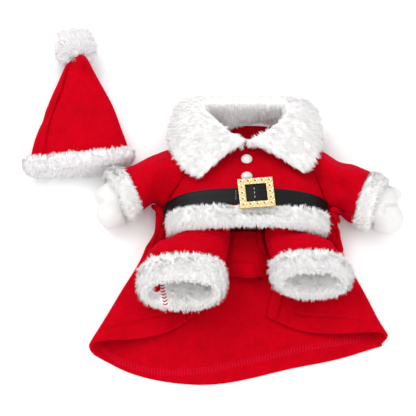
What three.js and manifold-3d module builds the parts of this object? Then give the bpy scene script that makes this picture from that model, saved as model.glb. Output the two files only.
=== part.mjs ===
// A pet's Santa costume, laid on its back on a flat surface: a coat with stuffed sleeves, two tubes for the pet's
// front legs, a plush collar and a belt with its buckle, and a cone hat beside it.
// Millimetres. +Z is up from the surface and +Y runs from the back hem to the collar. While the pieces are worked
// out, X = 0 is near the coat's centre line, left is -X, and the surface is Z = 0.
import * as THREE from 'three';
import { mergeVertices } from 'three/addons/utils/BufferGeometryUtils.js';
import Module from 'manifold-3d';

// Driving dimensions
const CLOTH = 2; // fleece, one layer
const HEM_PLY = 0.9; // what a turned hem adds
const HEM_WIDTH = 11;
const SEAM_GAP = 0.3;
const PLUSH = 10; // plush cloth with its pile
const CHEST_X = 3; // middle of the filled-out chest
const CHEST_HALF = 86;
const SQUARENESS = 2.6; // 2 is an ellipse, more is boxier
const JACKET_HEM_Y = -47; // lower edge of the chest panel
const NECK_FRONT_Y = 45;
const NECK_SIDE_Y = 54; // where the chest panel, the sleeve and the collar meet
const NECK_BACK_Y = 96;
const SKIRT_TOP_Y = -53;
const FOLD_SEAM = 5; // how far inside a side's fold its seam runs
const BELT = { y: -19, width: 18, thick: 1.6 };
const HEM_BAND = { from: -51, to: -28.4, thick: 10.5 };
const BUCKLE = { x: 12, y: -17.4, size: 36.5, bar: 7.3, thick: 3.2, turn: 0.09, lean: -0.085 };
const BUTTON = { r: 6.3, dome: 4.2 };
const SLEEVE_CUFF = { length: 18, thick: 9, proud: 2.5 };
const POMPOM = { x: -179.5, y: 184, z: 24.5, core: 17, reach: 25, locks: 76 };

// Forms along the coat, each row at a place on Y

const CHEST = [
  { at: -52, height: 47 },
  { at: -19, height: 53.5 },
  { at: 10, height: 44 },
  { at: 45, height: 36 },
  { at: 60, height: 32 },
];
const SEAMS = {
  left: [
    { at: -9, x: -83 },
    { at: 21, x: -60 },
    { at: 41, x: -46 },
    { at: 56, x: -41 },
    { at: 72, x: -40.5 },
    { at: 88, x: -40 },
  ],
  right: [
    { at: -17, x: 89 },
    { at: -8, x: 84.5 },
    { at: 22, x: 74 },
    { at: 41, x: 60 },
    { at: 56, x: 49.5 },
    { at: 72, x: 46 },
    { at: 88, x: 44 },
  ],
};
const SKIRT = {
  left: {
    side: [
      { at: -175, x: -164, front: -47, fold: 7 },
      { at: -150, x: -151, front: -47, fold: 6.6 },
      { at: -127, x: -139, front: -48, fold: 6.3 },
      { at: -103, x: -127, front: -52, fold: 6 },
      { at: -62, x: -106, front: -56, fold: 5 },
      { at: -52, x: -103, front: -58, fold: 4.6 },
    ],
    hem: [
      { at: 0, y: -174.2, lift: 0 },
      { at: 0.14, y: -167.4, lift: 0 },
      { at: 0.28, y: -165.9, lift: 0 },
      { at: 0.4, y: -164, lift: 0.5 },
      { at: 0.6, y: -159.1, lift: 1 },
      { at: 0.8, y: -148.4, lift: 1.5 },
      { at: 0.92, y: -136.6, lift: 2 },
      { at: 1, y: -124.9, lift: 3 },
    ],
  },
  right: {
    side: [
      { at: -162, x: 150, front: 20, fold: 6.6 },
      { at: -145, x: 140.5, front: 21, fold: 6.4 },
      { at: -135, x: 136, front: 22, fold: 6.3 },
      { at: -108, x: 124.5, front: 28, fold: 6 },
      { at: -71, x: 107.5, front: 38, fold: 5 },
      { at: -52, x: 100, front: 43, fold: 4.6 },
    ],
    hem: [
      { at: 0, y: -164.5, lift: 0 },
      { at: 0.14, y: -157.1, lift: 0 },
      { at: 0.28, y: -154.7, lift: 0 },
      { at: 0.4, y: -154.2, lift: 0.5 },
      { at: 0.6, y: -153.7, lift: 1.5 },
      { at: 0.8, y: -147.9, lift: 1 },
      { at: 0.93, y: -137.6, lift: 0.5 },
      { at: 1, y: -131.8, lift: 0.5 },
    ],
  },
};
const BACK_HEM = [
  { at: -170, y: -164 },
  { at: -159, y: -170.3 },
  { at: -139, y: -185.4 },
  { at: -116, y: -197.2 },
  { at: -82, y: -205.9 },
  { at: -44, y: -209.8 },
  { at: -15, y: -206.9 },
  { at: 19, y: -198.1 },
  { at: 55, y: -188.4 },
  { at: 86, y: -182.5 },
  { at: 136, y: -165.4 },
  { at: 160, y: -154.2 },
];
const SLEEVE = {
  left: { x: -118, y: 7.5, r: 24.5, turn: -2.7, out: -1 },
  right: { x: 122.8, y: -4, r: 27.5, turn: -0.37, out: 1 },
};
const HAND = {
  left: {
    palm: { x: -137.5, y: -15, z: 15.5, a: 18.5, b: 16.5, c: 15.5, turn: 0.3 },
    thumb: { x: -147, y: 5, z: 21, a: 11, b: 8, c: 8, turn: 0.5 },
  },
  right: {
    palm: { x: 147.5, y: -22, z: 17, a: 19, b: 17.5, c: 16.5, turn: -0.4 },
    thumb: { x: 153.5, y: 4.5, z: 22, a: 12.5, b: 8.5, c: 8.5, turn: -0.15 },
  },
};
const LEG = {
  left: [
    { at: 0, x: -46, y: -41, z: 26.5, wide: 30, high: 18 },
    { at: 0.2, x: -47, y: -55, z: 27.5, wide: 31, high: 18 },
    { at: 0.45, x: -55.5, y: -68, z: 31.5, wide: 38, high: 19.5 },
    { at: 0.7, x: -60, y: -78, z: 34, wide: 41, high: 20 },
    { at: 1, x: -63, y: -91, z: 36.5, wide: 42, high: 21 },
  ],
  right: [
    { at: 0, x: 49, y: -41, z: 26.5, wide: 27, high: 18 },
    { at: 0.25, x: 51, y: -54, z: 28, wide: 29, high: 18.5 },
    { at: 0.5, x: 57, y: -64, z: 31, wide: 33.5, high: 18.5 },
    { at: 0.75, x: 62, y: -74.5, z: 33.5, wide: 35.5, high: 18.5 },
    { at: 1, x: 66, y: -85, z: 35.5, wide: 37, high: 19 },
  ],
};
const LEG_CUFF = {
  left: { x: -66, y: -126, z: 40, wide: 43, high: 22.5, thick: 12.5 },
  right: { x: 70, y: -113, z: 38, wide: 38.5, high: 20.5, thick: 12 },
};
const LEG_TILT = 0.29; // radians, how far the top of each leg ring leans back
const BELLY = [
  { at: 0, y: -40, z: 21, wide: 34 },
  { at: 0.3, y: -56, z: 23.5, wide: 34 },
  { at: 0.55, y: -70, z: 22.5, wide: 33 },
  { at: 0.75, y: -80, z: 18.5, wide: 30 },
  { at: 0.88, y: -84.5, z: 13.5, wide: 27 },
  { at: 1, y: -82, z: 9, wide: 24 },
];
const GATHER = {
  left: [
    { at: 0, x: -88.2, y: -16, z: 8, r: 2.8 },
    { at: 0.15, x: -88, y: -19, z: 8.4, r: 3.8 },
    { at: 0.4, x: -88.4, y: -28, z: 8, r: 4 },
    { at: 0.7, x: -90.6, y: -39, z: 7.8, r: 5 },
    { at: 1, x: -95.2, y: -52.2, z: 7.6, r: 5.4 },
  ],
  right: [
    { at: 0, x: 95.2, y: -25, z: 20, r: 3 },
    { at: 0.12, x: 95.9, y: -27.5, z: 19.5, r: 5.4 },
    { at: 0.35, x: 95.7, y: -31, z: 15, r: 5.2 },
    { at: 0.65, x: 95.2, y: -39, z: 9, r: 4.8 },
    { at: 1, x: 96, y: -52.2, z: 7.4, r: 5 },
  ],
};
// Round the neck from the left tip to the right one: the stand's foot, the fold, and the outer edge
const COLLAR = [
  { at: 0, bx: -1, by: 45, bz: 49, fx: -4, fy: 47, fz: 54, ox: -47, oy: 6, oz: 50 },
  { at: 0.1, bx: -17, by: 51, bz: 45, fx: -14, fy: 60, fz: 55, ox: -65, oy: 21, oz: 44 },
  { at: 0.21, bx: -32, by: 60, bz: 36, fx: -30, fy: 73, fz: 56, ox: -77, oy: 43, oz: 38 },
  { at: 0.31, bx: -39, by: 74, bz: 25, fx: -43, fy: 86, fz: 55, ox: -80, oy: 68, oz: 32 },
  { at: 0.38, bx: -37, by: 88, bz: 15, fx: -46, fy: 96, fz: 54, ox: -76, oy: 91, oz: 29 },
  { at: 0.43, bx: -27, by: 95, bz: 13, fx: -39, fy: 102, fz: 52, ox: -63, oy: 110, oz: 26 },
  { at: 0.5, bx: 3, by: 98, bz: 13, fx: 3, fy: 103, fz: 51, ox: 3, oy: 118, oz: 18 },
  { at: 0.57, bx: 33, by: 94, bz: 13, fx: 43, fy: 101, fz: 52, ox: 67, oy: 110, oz: 26 },
  { at: 0.62, bx: 43, by: 86, bz: 16, fx: 48, fy: 94, fz: 54, ox: 80, oy: 92, oz: 29 },
  { at: 0.69, bx: 46, by: 72, bz: 27, fx: 47, fy: 83, fz: 55, ox: 82.5, oy: 66, oz: 33 },
  { at: 0.79, bx: 37, by: 58, bz: 38, fx: 37, fy: 68, fz: 56, ox: 78, oy: 40, oz: 40 },
  { at: 0.9, bx: 22, by: 51, bz: 45, fx: 22, fy: 57, fz: 55, ox: 72, oy: 24, oz: 45 },
  { at: 1, bx: 7, by: 45, bz: 49, fx: 10, fy: 47, fz: 54, ox: 63, oy: 12.5, oz: 49 },
];
const HAT = [
  { at: 0, x: -174.5, y: 55, z: 12.5, wide: 51, high: 10.5 },
  { at: 0.25, x: -173.5, y: 86, z: 14.5, wide: 44.5, high: 12.8 },
  { at: 0.5, x: -171.5, y: 116, z: 15.5, wide: 34.5, high: 13.8 },
  { at: 0.75, x: -170.5, y: 146, z: 17.5, wide: 20.5, high: 12.5 },
  { at: 0.92, x: -170, y: 168, z: 21.5, wide: 9.5, high: 8.5 },
  { at: 1, x: -170, y: 176, z: 26, wide: 1.6, high: 1.6 },
];
const HAT_TURN = 0.06;
const BRIM_SLANT = 0.055; // how much further the hat's open end is turned
const BRIM = { length: 18, wide: 53.5, high: 8.6, thick: 10.5 };

// Small tools

const V = (x, y, z) => new THREE.Vector3(x, y, z);
const { lerp, clamp, smoothstep } = THREE.MathUtils;
const shares = (n) => Array.from({ length: n + 1 }, (_, k) => k / n);
const power = (c, p) => Math.sign(c) * Math.abs(c) ** p;
const bump = (x, width) => Math.exp(-((x / width) ** 2));
const wasm = await Module();
wasm.setup();

// Reads one column of a table at a place between its rows, on a curve through them that never overshoots.
function read(table, column, at) {
  const last = table.length - 1;
  const slope = (k) => (table[k + 1][column] - table[k][column]) / (table[k + 1].at - table[k].at);
  const knot = (k) => {
    if (k === 0) return slope(0);
    if (k === last) return slope(last - 1);
    const [before, after] = [slope(k - 1), slope(k)];
    return before * after <= 0 ? 0 : (2 * before * after) / (before + after);
  };
  let k = 0;
  while (k < last - 1 && at > table[k + 1].at) k += 1;
  const span = table[k + 1].at - table[k].at;
  const t = clamp((at - table[k].at) / span, 0, 1);
  const [t2, t3] = [t * t, t * t * t];
  return (2 * t3 - 3 * t2 + 1) * table[k][column] + (t3 - 2 * t2 + t) * span * knot(k)
    + (3 * t2 - 2 * t3) * table[k + 1][column] + (t3 - t2) * span * knot(k + 1);
}

function volume(geometry) {
  const p = geometry.attributes.position;
  const corner = (k) => V(0, 0, 0).fromBufferAttribute(p, geometry.index.getX(k));
  let sum = 0;
  for (let k = 0; k < geometry.index.count; k += 3) sum += corner(k).dot(corner(k + 1).cross(corner(k + 2)));
  return sum / 6;
}

// Where a middle surface bends more tightly than its wall is thick, draws the wall's inner side in toward it until
// that side no longer folds over itself.
function unfold(points, at, m, n, ring) {
  const least = 0.15; // of the middle surface's own length, what a side keeps
  const folded = (offset, i, j, ni, nj) => {
    const along = at(ni, nj).clone().sub(at(i, j));
    const own = points[offset + ni * n + (nj % n)].clone().sub(points[offset + i * n + j]);
    return own.dot(along) < least * along.lengthSq();
  };
  for (const offset of [0, m * n]) {
    for (let pass = 0; pass < 12; pass += 1) {
      const tight = new Set();
      for (let i = 0; i < m; i += 1) {
        for (let j = 0; j < n; j += 1) {
          const next = [[i + 1, j], [i, j + 1]].filter(([a, b]) => a < m && (ring || b < n));
          next.filter(([a, b]) => folded(offset, i, j, a, b)).forEach(([a, b]) => {
            tight.add(i * n + j);
            tight.add(a * n + (b % n));
          });
        }
      }
      tight.forEach((k) => points[offset + k].lerp(at(Math.floor(k / n), k % n), 0.2));
    }
  }
}

// A wall about a grid of points on its middle surface. thick(s, t) is its thickness at a share s of the rows and t
// of the columns. A ring's rows close on themselves. along.first and so on give, at a share of that edge, a
// direction that its rim must not lean into. No point goes below the floor.
function wall(rows, thick, { ring = false, along = {}, floor = 0 } = {}) {
  const [m, n] = [rows.length, rows[0].length];
  const at = (i, j) => rows[clamp(i, 0, m - 1)][ring ? (j + n) % n : clamp(j, 0, n - 1)];
  const points = [];
  for (const side of [0.5, -0.5]) {
    for (let i = 0; i < m; i += 1) {
      for (let j = 0; j < n; j += 1) {
        const [s, t] = [i / (m - 1), j / (ring ? n : n - 1)];
        const across = at(i, j + 1).clone().sub(at(i, j - 1));
        const normal = across.cross(at(i + 1, j).clone().sub(at(i - 1, j))).normalize();
        const edges = [i === 0 && along.first?.(t), i === m - 1 && along.last?.(t), j === 0 && along.left?.(s),
          j === n - 1 && along.right?.(s)].filter(Boolean);
        edges.forEach((edge) => normal.addScaledVector(edge, -normal.dot(edge)).normalize());
        points.push(at(i, j).clone().addScaledVector(normal, side * thick(s, t)));
      }
    }
  }
  unfold(points, at, m, n, ring);
  points.forEach((p) => { p.z = Math.max(p.z, floor); });
  const faces = [];
  const quad = (a, b, c, d) => faces.push(a, b, c, a, c, d);
  const outer = (i, j) => i * n + (j % n);
  const inner = (i, j) => m * n + outer(i, j);
  const columns = ring ? n : n - 1;
  for (let j = 0; j < columns; j += 1) {
    for (let i = 0; i < m - 1; i += 1) {
      quad(outer(i, j), outer(i, j + 1), outer(i + 1, j + 1), outer(i + 1, j));
      quad(inner(i, j), inner(i + 1, j), inner(i + 1, j + 1), inner(i, j + 1));
    }
    quad(inner(0, j), inner(0, j + 1), outer(0, j + 1), outer(0, j));
    quad(outer(m - 1, j), outer(m - 1, j + 1), inner(m - 1, j + 1), inner(m - 1, j));
  }
  for (let i = 0; !ring && i < m - 1; i += 1) {
    quad(outer(i, 0), outer(i + 1, 0), inner(i + 1, 0), inner(i, 0));
    quad(inner(i, n - 1), inner(i + 1, n - 1), outer(i + 1, n - 1), outer(i, n - 1));
  }
  const geometry = new THREE.BufferGeometry().setFromPoints(points);
  geometry.setIndex(faces);
  if (volume(geometry) < 0) geometry.setIndex(faces.reverse());
  return geometry;
}

// Plush is full inside and thins to a round lip at its rims, each of which takes a share of the width.
const plush = (full, share, round) => {
  const inside = clamp(Math.min(share, 1 - share) / round, 0, 1);
  return full * (0.36 + 0.64 * Math.sqrt(1 - (1 - inside) ** 2));
};

// The highest point of some solids over a place in plan, or the lowest with side -1, within a reach of it.
function sight(geometries, side = 1) {
  const corners = geometries.flatMap((geometry) => {
    const p = geometry.attributes.position;
    return Array.from(geometry.index.array, (k) => V(0, 0, 0).fromBufferAttribute(p, k));
  });
  const over = (x, y) => {
    let best = -Infinity;
    for (let k = 0; k < corners.length; k += 3) {
      const [a, b, c] = corners.slice(k, k + 3);
      const area = (b.x - a.x) * (c.y - a.y) - (c.x - a.x) * (b.y - a.y);
      const v = ((x - a.x) * (c.y - a.y) - (c.x - a.x) * (y - a.y)) / area;
      const w = ((b.x - a.x) * (y - a.y) - (x - a.x) * (b.y - a.y)) / area;
      if (v >= 0 && w >= 0 && v + w <= 1) best = Math.max(best, side * (a.z + v * (b.z - a.z) + w * (c.z - a.z)));
    }
    return best;
  };
  const around = (reach) => [[0, 0], [reach, 0], [-reach, 0], [0, reach], [0, -reach]];
  return (x, y, reach = 2) => side * Math.max(...around(reach).map(([dx, dy]) => over(x + dx, y + dy)));
}

// Evenly spaced points along a closed line, from its first point on.
function evenly(line, n) {
  const closed = [...line, line[0]];
  const lengths = [0];
  for (let k = 1; k < closed.length; k += 1) lengths.push(lengths[k - 1] + closed[k].distanceTo(closed[k - 1]));
  return Array.from({ length: n }, (_, j) => {
    const want = (j / n) * lengths.at(-1);
    const k = Math.max(1, lengths.findIndex((length) => length >= want));
    return closed[k - 1].clone().lerp(closed[k], (want - lengths[k - 1]) / (lengths[k] - lengths[k - 1]));
  });
}

function toSolid(geometry) {
  const bare = geometry.clone();
  bare.deleteAttribute('normal');
  bare.deleteAttribute('uv');
  const merged = mergeVertices(bare, 1e-3);
  const vertProperties = merged.attributes.position.array;
  const triVerts = new Uint32Array(merged.index.array);
  return new wasm.Manifold(new wasm.Mesh({ numProp: 3, vertProperties, triVerts }));
}

function toGeometry(solid) {
  const { vertProperties, triVerts } = solid.getMesh();
  const geometry = new THREE.BufferGeometry();
  geometry.setAttribute('position', new THREE.BufferAttribute(vertProperties, 3));
  geometry.setIndex(new THREE.BufferAttribute(triVerts, 1));
  return geometry;
}

const group = new THREE.Group();
const RED = { color: 0xc20a1c, roughness: 0.95 };
const WHITE = { color: 0xf3f1ef, roughness: 1 };

function add(name, geometry, { color, roughness, metalness = 0 }) {
  const merged = mergeVertices(geometry, 1e-3);
  merged.computeVertexNormals();
  const mesh = new THREE.Mesh(merged, new THREE.MeshStandardMaterial({ color, roughness, metalness }));
  mesh.name = name;
  group.add(mesh);
  return mesh;
}

// Chest: an arch over the back panel, open at the neck, at the waist and where the sleeves join

const chestPoint = (angle, y) => V(
  CHEST_X + CHEST_HALF * power(Math.cos(angle), 2 / SQUARENESS),
  y,
  CLOTH + 0.8 + read(CHEST, 'height', y) * Math.max(Math.sin(angle), 0) ** (2 / SQUARENESS),
);
const chestAngle = (x) => Math.acos(power(clamp((x - CHEST_X) / CHEST_HALF, -1, 1), SQUARENESS / 2));

function onChest(angle, y, out) {
  const across = chestPoint(Math.max(angle - 0.01, 0), y).sub(chestPoint(Math.min(angle + 0.01, Math.PI), y));
  const normal = across.cross(chestPoint(angle, y + 1).sub(chestPoint(angle, y - 1))).normalize();
  return chestPoint(angle, y).addScaledVector(normal, out);
}

const seamX = (side, y) => read(SEAMS[side], 'x', Math.max(y, SEAMS[side][0].at));
const seamNormal = (side, y) => V(2, seamX(side, y - 1) - seamX(side, y + 1), 0).normalize();
const neckline = (t) => NECK_FRONT_Y + (NECK_SIDE_Y - NECK_FRONT_Y) * Math.abs(2 * t - 1) ** 1.6;

// Where the chest panel ends at one side: on the surface below the sleeve, and at the seam beside it
const chestEnd = (side, y) => {
  const inset = SLEEVE[side].out * SEAM_GAP * smoothstep(y, SEAMS[side][0].at, SEAMS[side][0].at + 1);
  return chestAngle(seamX(side, y) - inset);
};
const chestRows = shares(10).map((s) => shares(20).map((t) => {
  const y = lerp(JACKET_HEM_Y, neckline(t), s);
  return chestPoint(lerp(chestEnd('left', y), chestEnd('right', y), t), y);
}));
const chestEdge = (side, s) => seamNormal(side, lerp(JACKET_HEM_Y, NECK_SIDE_Y, s));
const chest = wall(chestRows, () => CLOTH, {
  floor: CLOTH + SEAM_GAP,
  along: { left: (s) => chestEdge('left', s), right: (s) => chestEdge('right', s) },
});
add('chest_panel', chest, RED);

// Sleeves: from a mouth that stands on the seam to a round cuff that lies on the surface

function mouth(side) {
  const { out } = SLEEVE[side];
  const first = SEAMS[side][0].at;
  const place = (y, z) => V(seamX(side, y) + (out * SEAM_GAP) / 2, y, z);
  const crown = chestPoint(chestAngle(seamX(side, NECK_SIDE_Y)), NECK_SIDE_Y).z;
  const front = shares(40).map((k) => lerp(first, NECK_SIDE_Y, k ** 1.5));
  return [
    ...front.map((y) => place(y, chestPoint(chestAngle(seamX(side, y)), y).z)),
    ...shares(12).slice(1).map((k) => place(lerp(NECK_SIDE_Y, 86, k), lerp(crown, 5, k))),
    ...shares(24).map((k) => place(lerp(86, first, k), CLOTH / 2)),
  ];
}

function sleeveFrame(side) {
  const { x, y, r, turn } = SLEEVE[side];
  return { axis: V(Math.cos(turn), Math.sin(turn), 0), middle: V(x, y, r + 1), r };
}

function ringAbout(middle, axis, r, angles) {
  const wide = V(0, 0, 1).cross(axis).multiplyScalar(Math.sign(V(0, 0, 1).cross(axis).y));
  return angles.map((a) => middle.clone().addScaledVector(wide, r * Math.cos(a)).add(V(0, 0, r * Math.sin(a))));
}

const SLEEVE_RING = 26;
for (const side of ['left', 'right']) {
  const { axis, middle, r } = sleeveFrame(side);
  const start = evenly(mouth(side), SLEEVE_RING);
  const turned = 0.62; // the share of the mouth that the front takes
  const angles = start.map((_, j) => {
    const t = j / SLEEVE_RING;
    return t < turned ? Math.PI * (1 - t / turned) : (-Math.PI * (t - turned)) / (1 - turned);
  });
  const end = ringAbout(middle, axis, r, angles);
  const rows = shares(6).map((s) => start.map((p, j) => {
    const t = j / SLEEVE_RING;
    const ease = s ** (1 - 0.5 * bump(t - 0.56, 0.17));
    const q = p.clone().lerp(end[j], ease);
    const top = Math.max(Math.sin(angles[j]), 0);
    q.z += 3.5 * top * Math.sin(Math.PI * s);
    q.y += 10 * Math.max(-Math.cos(angles[j]), 0) * Math.sin(Math.PI * s) ** 1.5;
    q.z = Math.max(q.z, CLOTH / 2);
    return q;
  }));
  const yAt = (t) => start[Math.round(t * SLEEVE_RING) % SLEEVE_RING].y;
  add(`sleeve_${side}`, wall(rows, () => CLOTH, {
    ring: true,
    along: { first: (t) => seamNormal(side, yAt(t)), last: () => axis },
  }), RED);
}

// Plush cuffs on the sleeves, and the stuffed mittens sewn into them

function cuffWall(side, spare) {
  const { axis, middle, r } = sleeveFrame(side);
  const { length, thick, proud } = SLEEVE_CUFF;
  const angles = shares(20).slice(0, 20).map((k) => 2 * Math.PI * k);
  const rows = shares(5).map((s) => {
    const place = middle.clone().addScaledVector(axis, lerp(SEAM_GAP - spare, SEAM_GAP + length + spare, s));
    return ringAbout(place, axis, r + proud - thick / 2, angles);
  });
  const full = (s) => (spare ? thick : plush(thick, s, 0.34)) + 2 * spare;
  return wall(rows, full, { ring: true, floor: spare ? -5 : 0, along: { first: () => axis, last: () => axis } });
}

function lobe({ x, y, z, a, b, c, turn }) {
  const ball = new THREE.SphereGeometry(1, 12, 8).scale(a, b, c).rotateZ(turn).translate(x, y, z);
  const p = ball.attributes.position;
  for (let k = 0; k < p.count; k += 1) p.setZ(k, Math.max(p.getZ(k), 0));
  return toSolid(ball);
}

for (const side of ['left', 'right']) {
  add(`sleeve_cuff_${side}`, cuffWall(side, 0), WHITE);
  const { middle, r } = sleeveFrame(side);
  const { turn } = SLEEVE[side];
  const wrist = { x: middle.x, y: middle.y, z: middle.z, a: 26, b: r - 6.6, c: r - 6.6, turn };
  const axis = sleeveFrame(side).axis.multiplyScalar(14);
  wrist.x += axis.x;
  wrist.y += axis.y;
  const { palm, thumb } = HAND[side];
  const hand = lobe(palm).add(lobe(thumb)).add(lobe(wrist)).subtract(toSolid(cuffWall(side, SEAM_GAP)));
  const parts = hand.decompose().sort((a, b) => b.volume() - a.volume());
  add(`mitten_${side}`, toGeometry(parts[0]), { color: 0xf2efec, roughness: 0.85 });
}

// Skirt: the back panel lies flat, and each side is folded over it and open at the front

const skirtSide = (side, column, y) => read(SKIRT[side].side, column, y);
const hemPly = (s, length) =>
  CLOTH + HEM_PLY * smoothstep(s, 1 - (HEM_WIDTH + 1.5) / length, 1 - HEM_WIDTH / length);

function skirtPoint(side, s, t) {
  const out = SLEEVE[side].out;
  const y = lerp(SKIRT_TOP_Y, read(SKIRT[side].hem, 'y', t), s);
  const edge = skirtSide(side, 'x', y);
  const r = skirtSide(side, 'fold', y);
  const inner = edge - out * r;
  const folded = 0.3; // the share of the columns that goes round the fold
  if (t < 0.08) return V(inner - out * FOLD_SEAM * (1 - t / 0.08), y, CLOTH / 2);
  if (t < folded) {
    const a = (Math.PI * (t - 0.08)) / (folded - 0.08);
    return V(inner + out * r * Math.sin(a), y, CLOTH / 2 + r * (1 - Math.cos(a)));
  }
  const k = (t - folded) / (1 - folded);
  const x = lerp(inner, skirtSide(side, 'front', y), k);
  const high = CLOTH / 2 + 2 * r;
  const low = CLOTH * 1.5 + SEAM_GAP + HEM_PLY;
  const sag = lerp(high, low, smoothstep(Math.abs(x - inner), 0, 62));
  return V(x, y, sag + read(SKIRT[side].hem, 'lift', t) * smoothstep(s, 0.55, 1));
}

const SKIRT_COLUMNS = [0, 0.08, 0.135, 0.19, 0.245, 0.3, 0.39, 0.49, 0.6, 0.71, 0.82, 0.93, 1];
for (const side of ['left', 'right']) {
  const rows = shares(12).map((s) => SKIRT_COLUMNS.map((t) => skirtPoint(side, s, t)));
  const last = SKIRT_COLUMNS.length - 1;
  const length = (t) => SKIRT_TOP_Y - read(SKIRT[side].hem, 'y', t);
  const skin = (s, t) => {
    const front = HEM_PLY * (t * last > last - 1.5 ? 1 : 0);
    return Math.max(hemPly(s, length(SKIRT_COLUMNS[Math.round(t * last)])), CLOTH + front);
  };
  add(`skirt_${side}`, wall(rows, skin), RED);
}

// The back panel's side edge, as seen from above
function backEdge(side, y) {
  const out = SLEEVE[side].out;
  const skirt = (at) => skirtSide(side, 'x', at) - out * (skirtSide(side, 'fold', at) + FOLD_SEAM + 2 * SEAM_GAP);
  if (y < SKIRT_TOP_Y) return skirt(y);
  const seam = seamX(side, y) - out * SEAM_GAP * (1 + smoothstep(y, 30, 45));
  const free = SEAMS[side][0].at - 4;
  if (y > free) return seam;
  const gathered = skirt(SKIRT_TOP_Y) - out * 1.5 * smoothstep(y, SKIRT_TOP_Y, SKIRT_TOP_Y + 9);
  return lerp(gathered, seam, smoothstep(y, free - 9, free));
}

const backRows = shares(21).map((s) => shares(13).map((t) => {
  const neck = NECK_BACK_Y - 3 * (2 * t - 1) ** 2;
  const guess = V(0, 0, 0);
  for (let pass = 0; pass < 4; pass += 1) {
    guess.y = lerp(read(BACK_HEM, 'y', guess.x), neck, s);
    guess.x = lerp(backEdge('left', guess.y), backEdge('right', guess.y), t);
  }
  guess.z = CLOTH / 2 + 7 * smoothstep(guess.y, 62, NECK_BACK_Y) * (1 - 0.5 * (2 * t - 1) ** 4);
  return guess;
}));
const backPly = (s) => CLOTH + HEM_PLY * smoothstep(1 - s, 1 - 0.045, 1 - 0.04);
add('back_panel', wall(backRows, backPly), RED);

// Legs for the pet, tubes that lie on the skirt and lean up toward their plush cuffs

const legRing = ({ x, y, z, wide, high }, n = 22) => shares(n).slice(0, n).map((k) => {
  const a = 2 * Math.PI * k;
  const up = high * power(Math.sin(a), 0.9);
  return V(x + wide * power(Math.cos(a), 0.9), y + up * Math.sin(LEG_TILT), z + up * Math.cos(LEG_TILT));
});
const rowOf = (table, s) => Object.fromEntries(Object.keys(table[0]).map((key) => [key, read(table, key, s)]));

// Draws a point in until it is under the chest panel, one layer of cloth and a gap away
function underChest(p) {
  const inset = CLOTH + 2 * SEAM_GAP;
  const wide = Math.abs(p.x - CHEST_X) / (CHEST_HALF - inset);
  const high = Math.max(p.z - CLOTH, 0) / (read(CHEST, 'height', p.y) - inset);
  const reach = (wide ** SQUARENESS + high ** SQUARENESS) ** (1 / SQUARENESS);
  if (p.y < JACKET_HEM_Y - 9 || reach <= 1) return p;
  return V(CHEST_X + (p.x - CHEST_X) / reach, p.y, CLOTH + (p.z - CLOTH) / reach);
}

const legs = ['left', 'right'].map((side) => {
  const rows = shares(6).map((s) => legRing(rowOf(LEG[side], s)).map((p) => underChest(p)));
  return wall(rows, () => CLOTH, { ring: true });
});
['left', 'right'].forEach((side, k) => add(`leg_${side}`, legs[k], RED));

for (const side of ['left', 'right']) {
  const end = LEG[side].at(-1);
  const tip = LEG_CUFF[side];
  const axis = V(tip.x - end.x, tip.y - end.y, tip.z - end.z).normalize();
  const rows = shares(5).map((s) => {
    const from = { ...end, x: end.x + axis.x * 1.3, y: end.y + axis.y * 1.3, z: end.z + axis.z * 1.3 };
    const keys = ['x', 'y', 'z', 'wide', 'high'];
    const here = Object.fromEntries(keys.map((key) => [key, lerp(from[key], tip[key], s)]));
    here.wide += 2.5 * Math.sin(Math.PI * s);
    here.high += 2 * Math.sin(Math.PI * s);
    return legRing(here, 26);
  });
  const upright = V(0, -Math.cos(LEG_TILT), Math.sin(LEG_TILT));
  add(`leg_cuff_${side}`, wall(rows, (s) => plush(tip.thick, s, 0.3), {
    ring: true,
    along: { first: () => upright, last: () => upright },
  }), WHITE);
}

// Belly: a rounded tongue between the legs, curled under at its lower edge

const legsUnder = sight(legs, -1);
const bellyRows = shares(10).map((s) => shares(11).map((t) => {
  const { y, z, wide } = rowOf(BELLY, s);
  const x = CHEST_X + wide * (2 * t - 1);
  const arch = z - 13 * Math.abs(2 * t - 1) ** 2.4;
  const room = legsUnder(x, y, 3) - CLOTH - 2 * SEAM_GAP;
  return V(x, y, Math.max(Math.min(arch, room), CLOTH * 3.6));
}));
add('belly_panel', wall(bellyRows, () => CLOTH), RED);

// Belt, buckle and buttons

// Rows round the chest between two places on X, and columns between two on Y, raised by out(s, t)
const laid = (out, xs, ys, n, columns) => shares(n).map((s) => shares(columns).map((t) => {
  const angle = lerp(chestAngle(xs[0]), chestAngle(xs[1]), s);
  return onChest(angle, lerp(ys[0], ys[1], t), out(s, t));
}));
const beltYs = [BELT.y - BELT.width / 2, BELT.y + BELT.width / 2];
const beltOut = CLOTH / 2 + 2 * SEAM_GAP + BELT.thick / 2;
add('belt', wall(laid(() => beltOut, [-81.5, 84], beltYs, 26, 2), () => BELT.thick),
  { color: 0x141414, roughness: 0.45 });

const frame = new THREE.Shape();
const half = BUCKLE.size / 2;
frame.moveTo(-half, -half).lineTo(half, -half).lineTo(half, half).lineTo(-half, half).closePath();
const inside = half - BUCKLE.bar;
frame.holes.push(new THREE.Path().moveTo(-inside, -inside).lineTo(-inside, inside).lineTo(inside, inside)
  .lineTo(inside, -inside).closePath());
const buckle = add('buckle', new THREE.ExtrudeGeometry(frame, {
  depth: BUCKLE.thick - 1,
  bevelThickness: 0.5,
  bevelSize: 0.5,
  bevelOffset: -0.5,
  bevelSegments: 1,
}), { color: 0xd9b45c, roughness: 0.3, metalness: 1 });
buckle.position.copy(onChest(chestAngle(BUCKLE.x), BUCKLE.y, beltOut + BELT.thick / 2 + 0.5 + SEAM_GAP));
buckle.rotation.set(BUCKLE.lean, 0, BUCKLE.turn);

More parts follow.
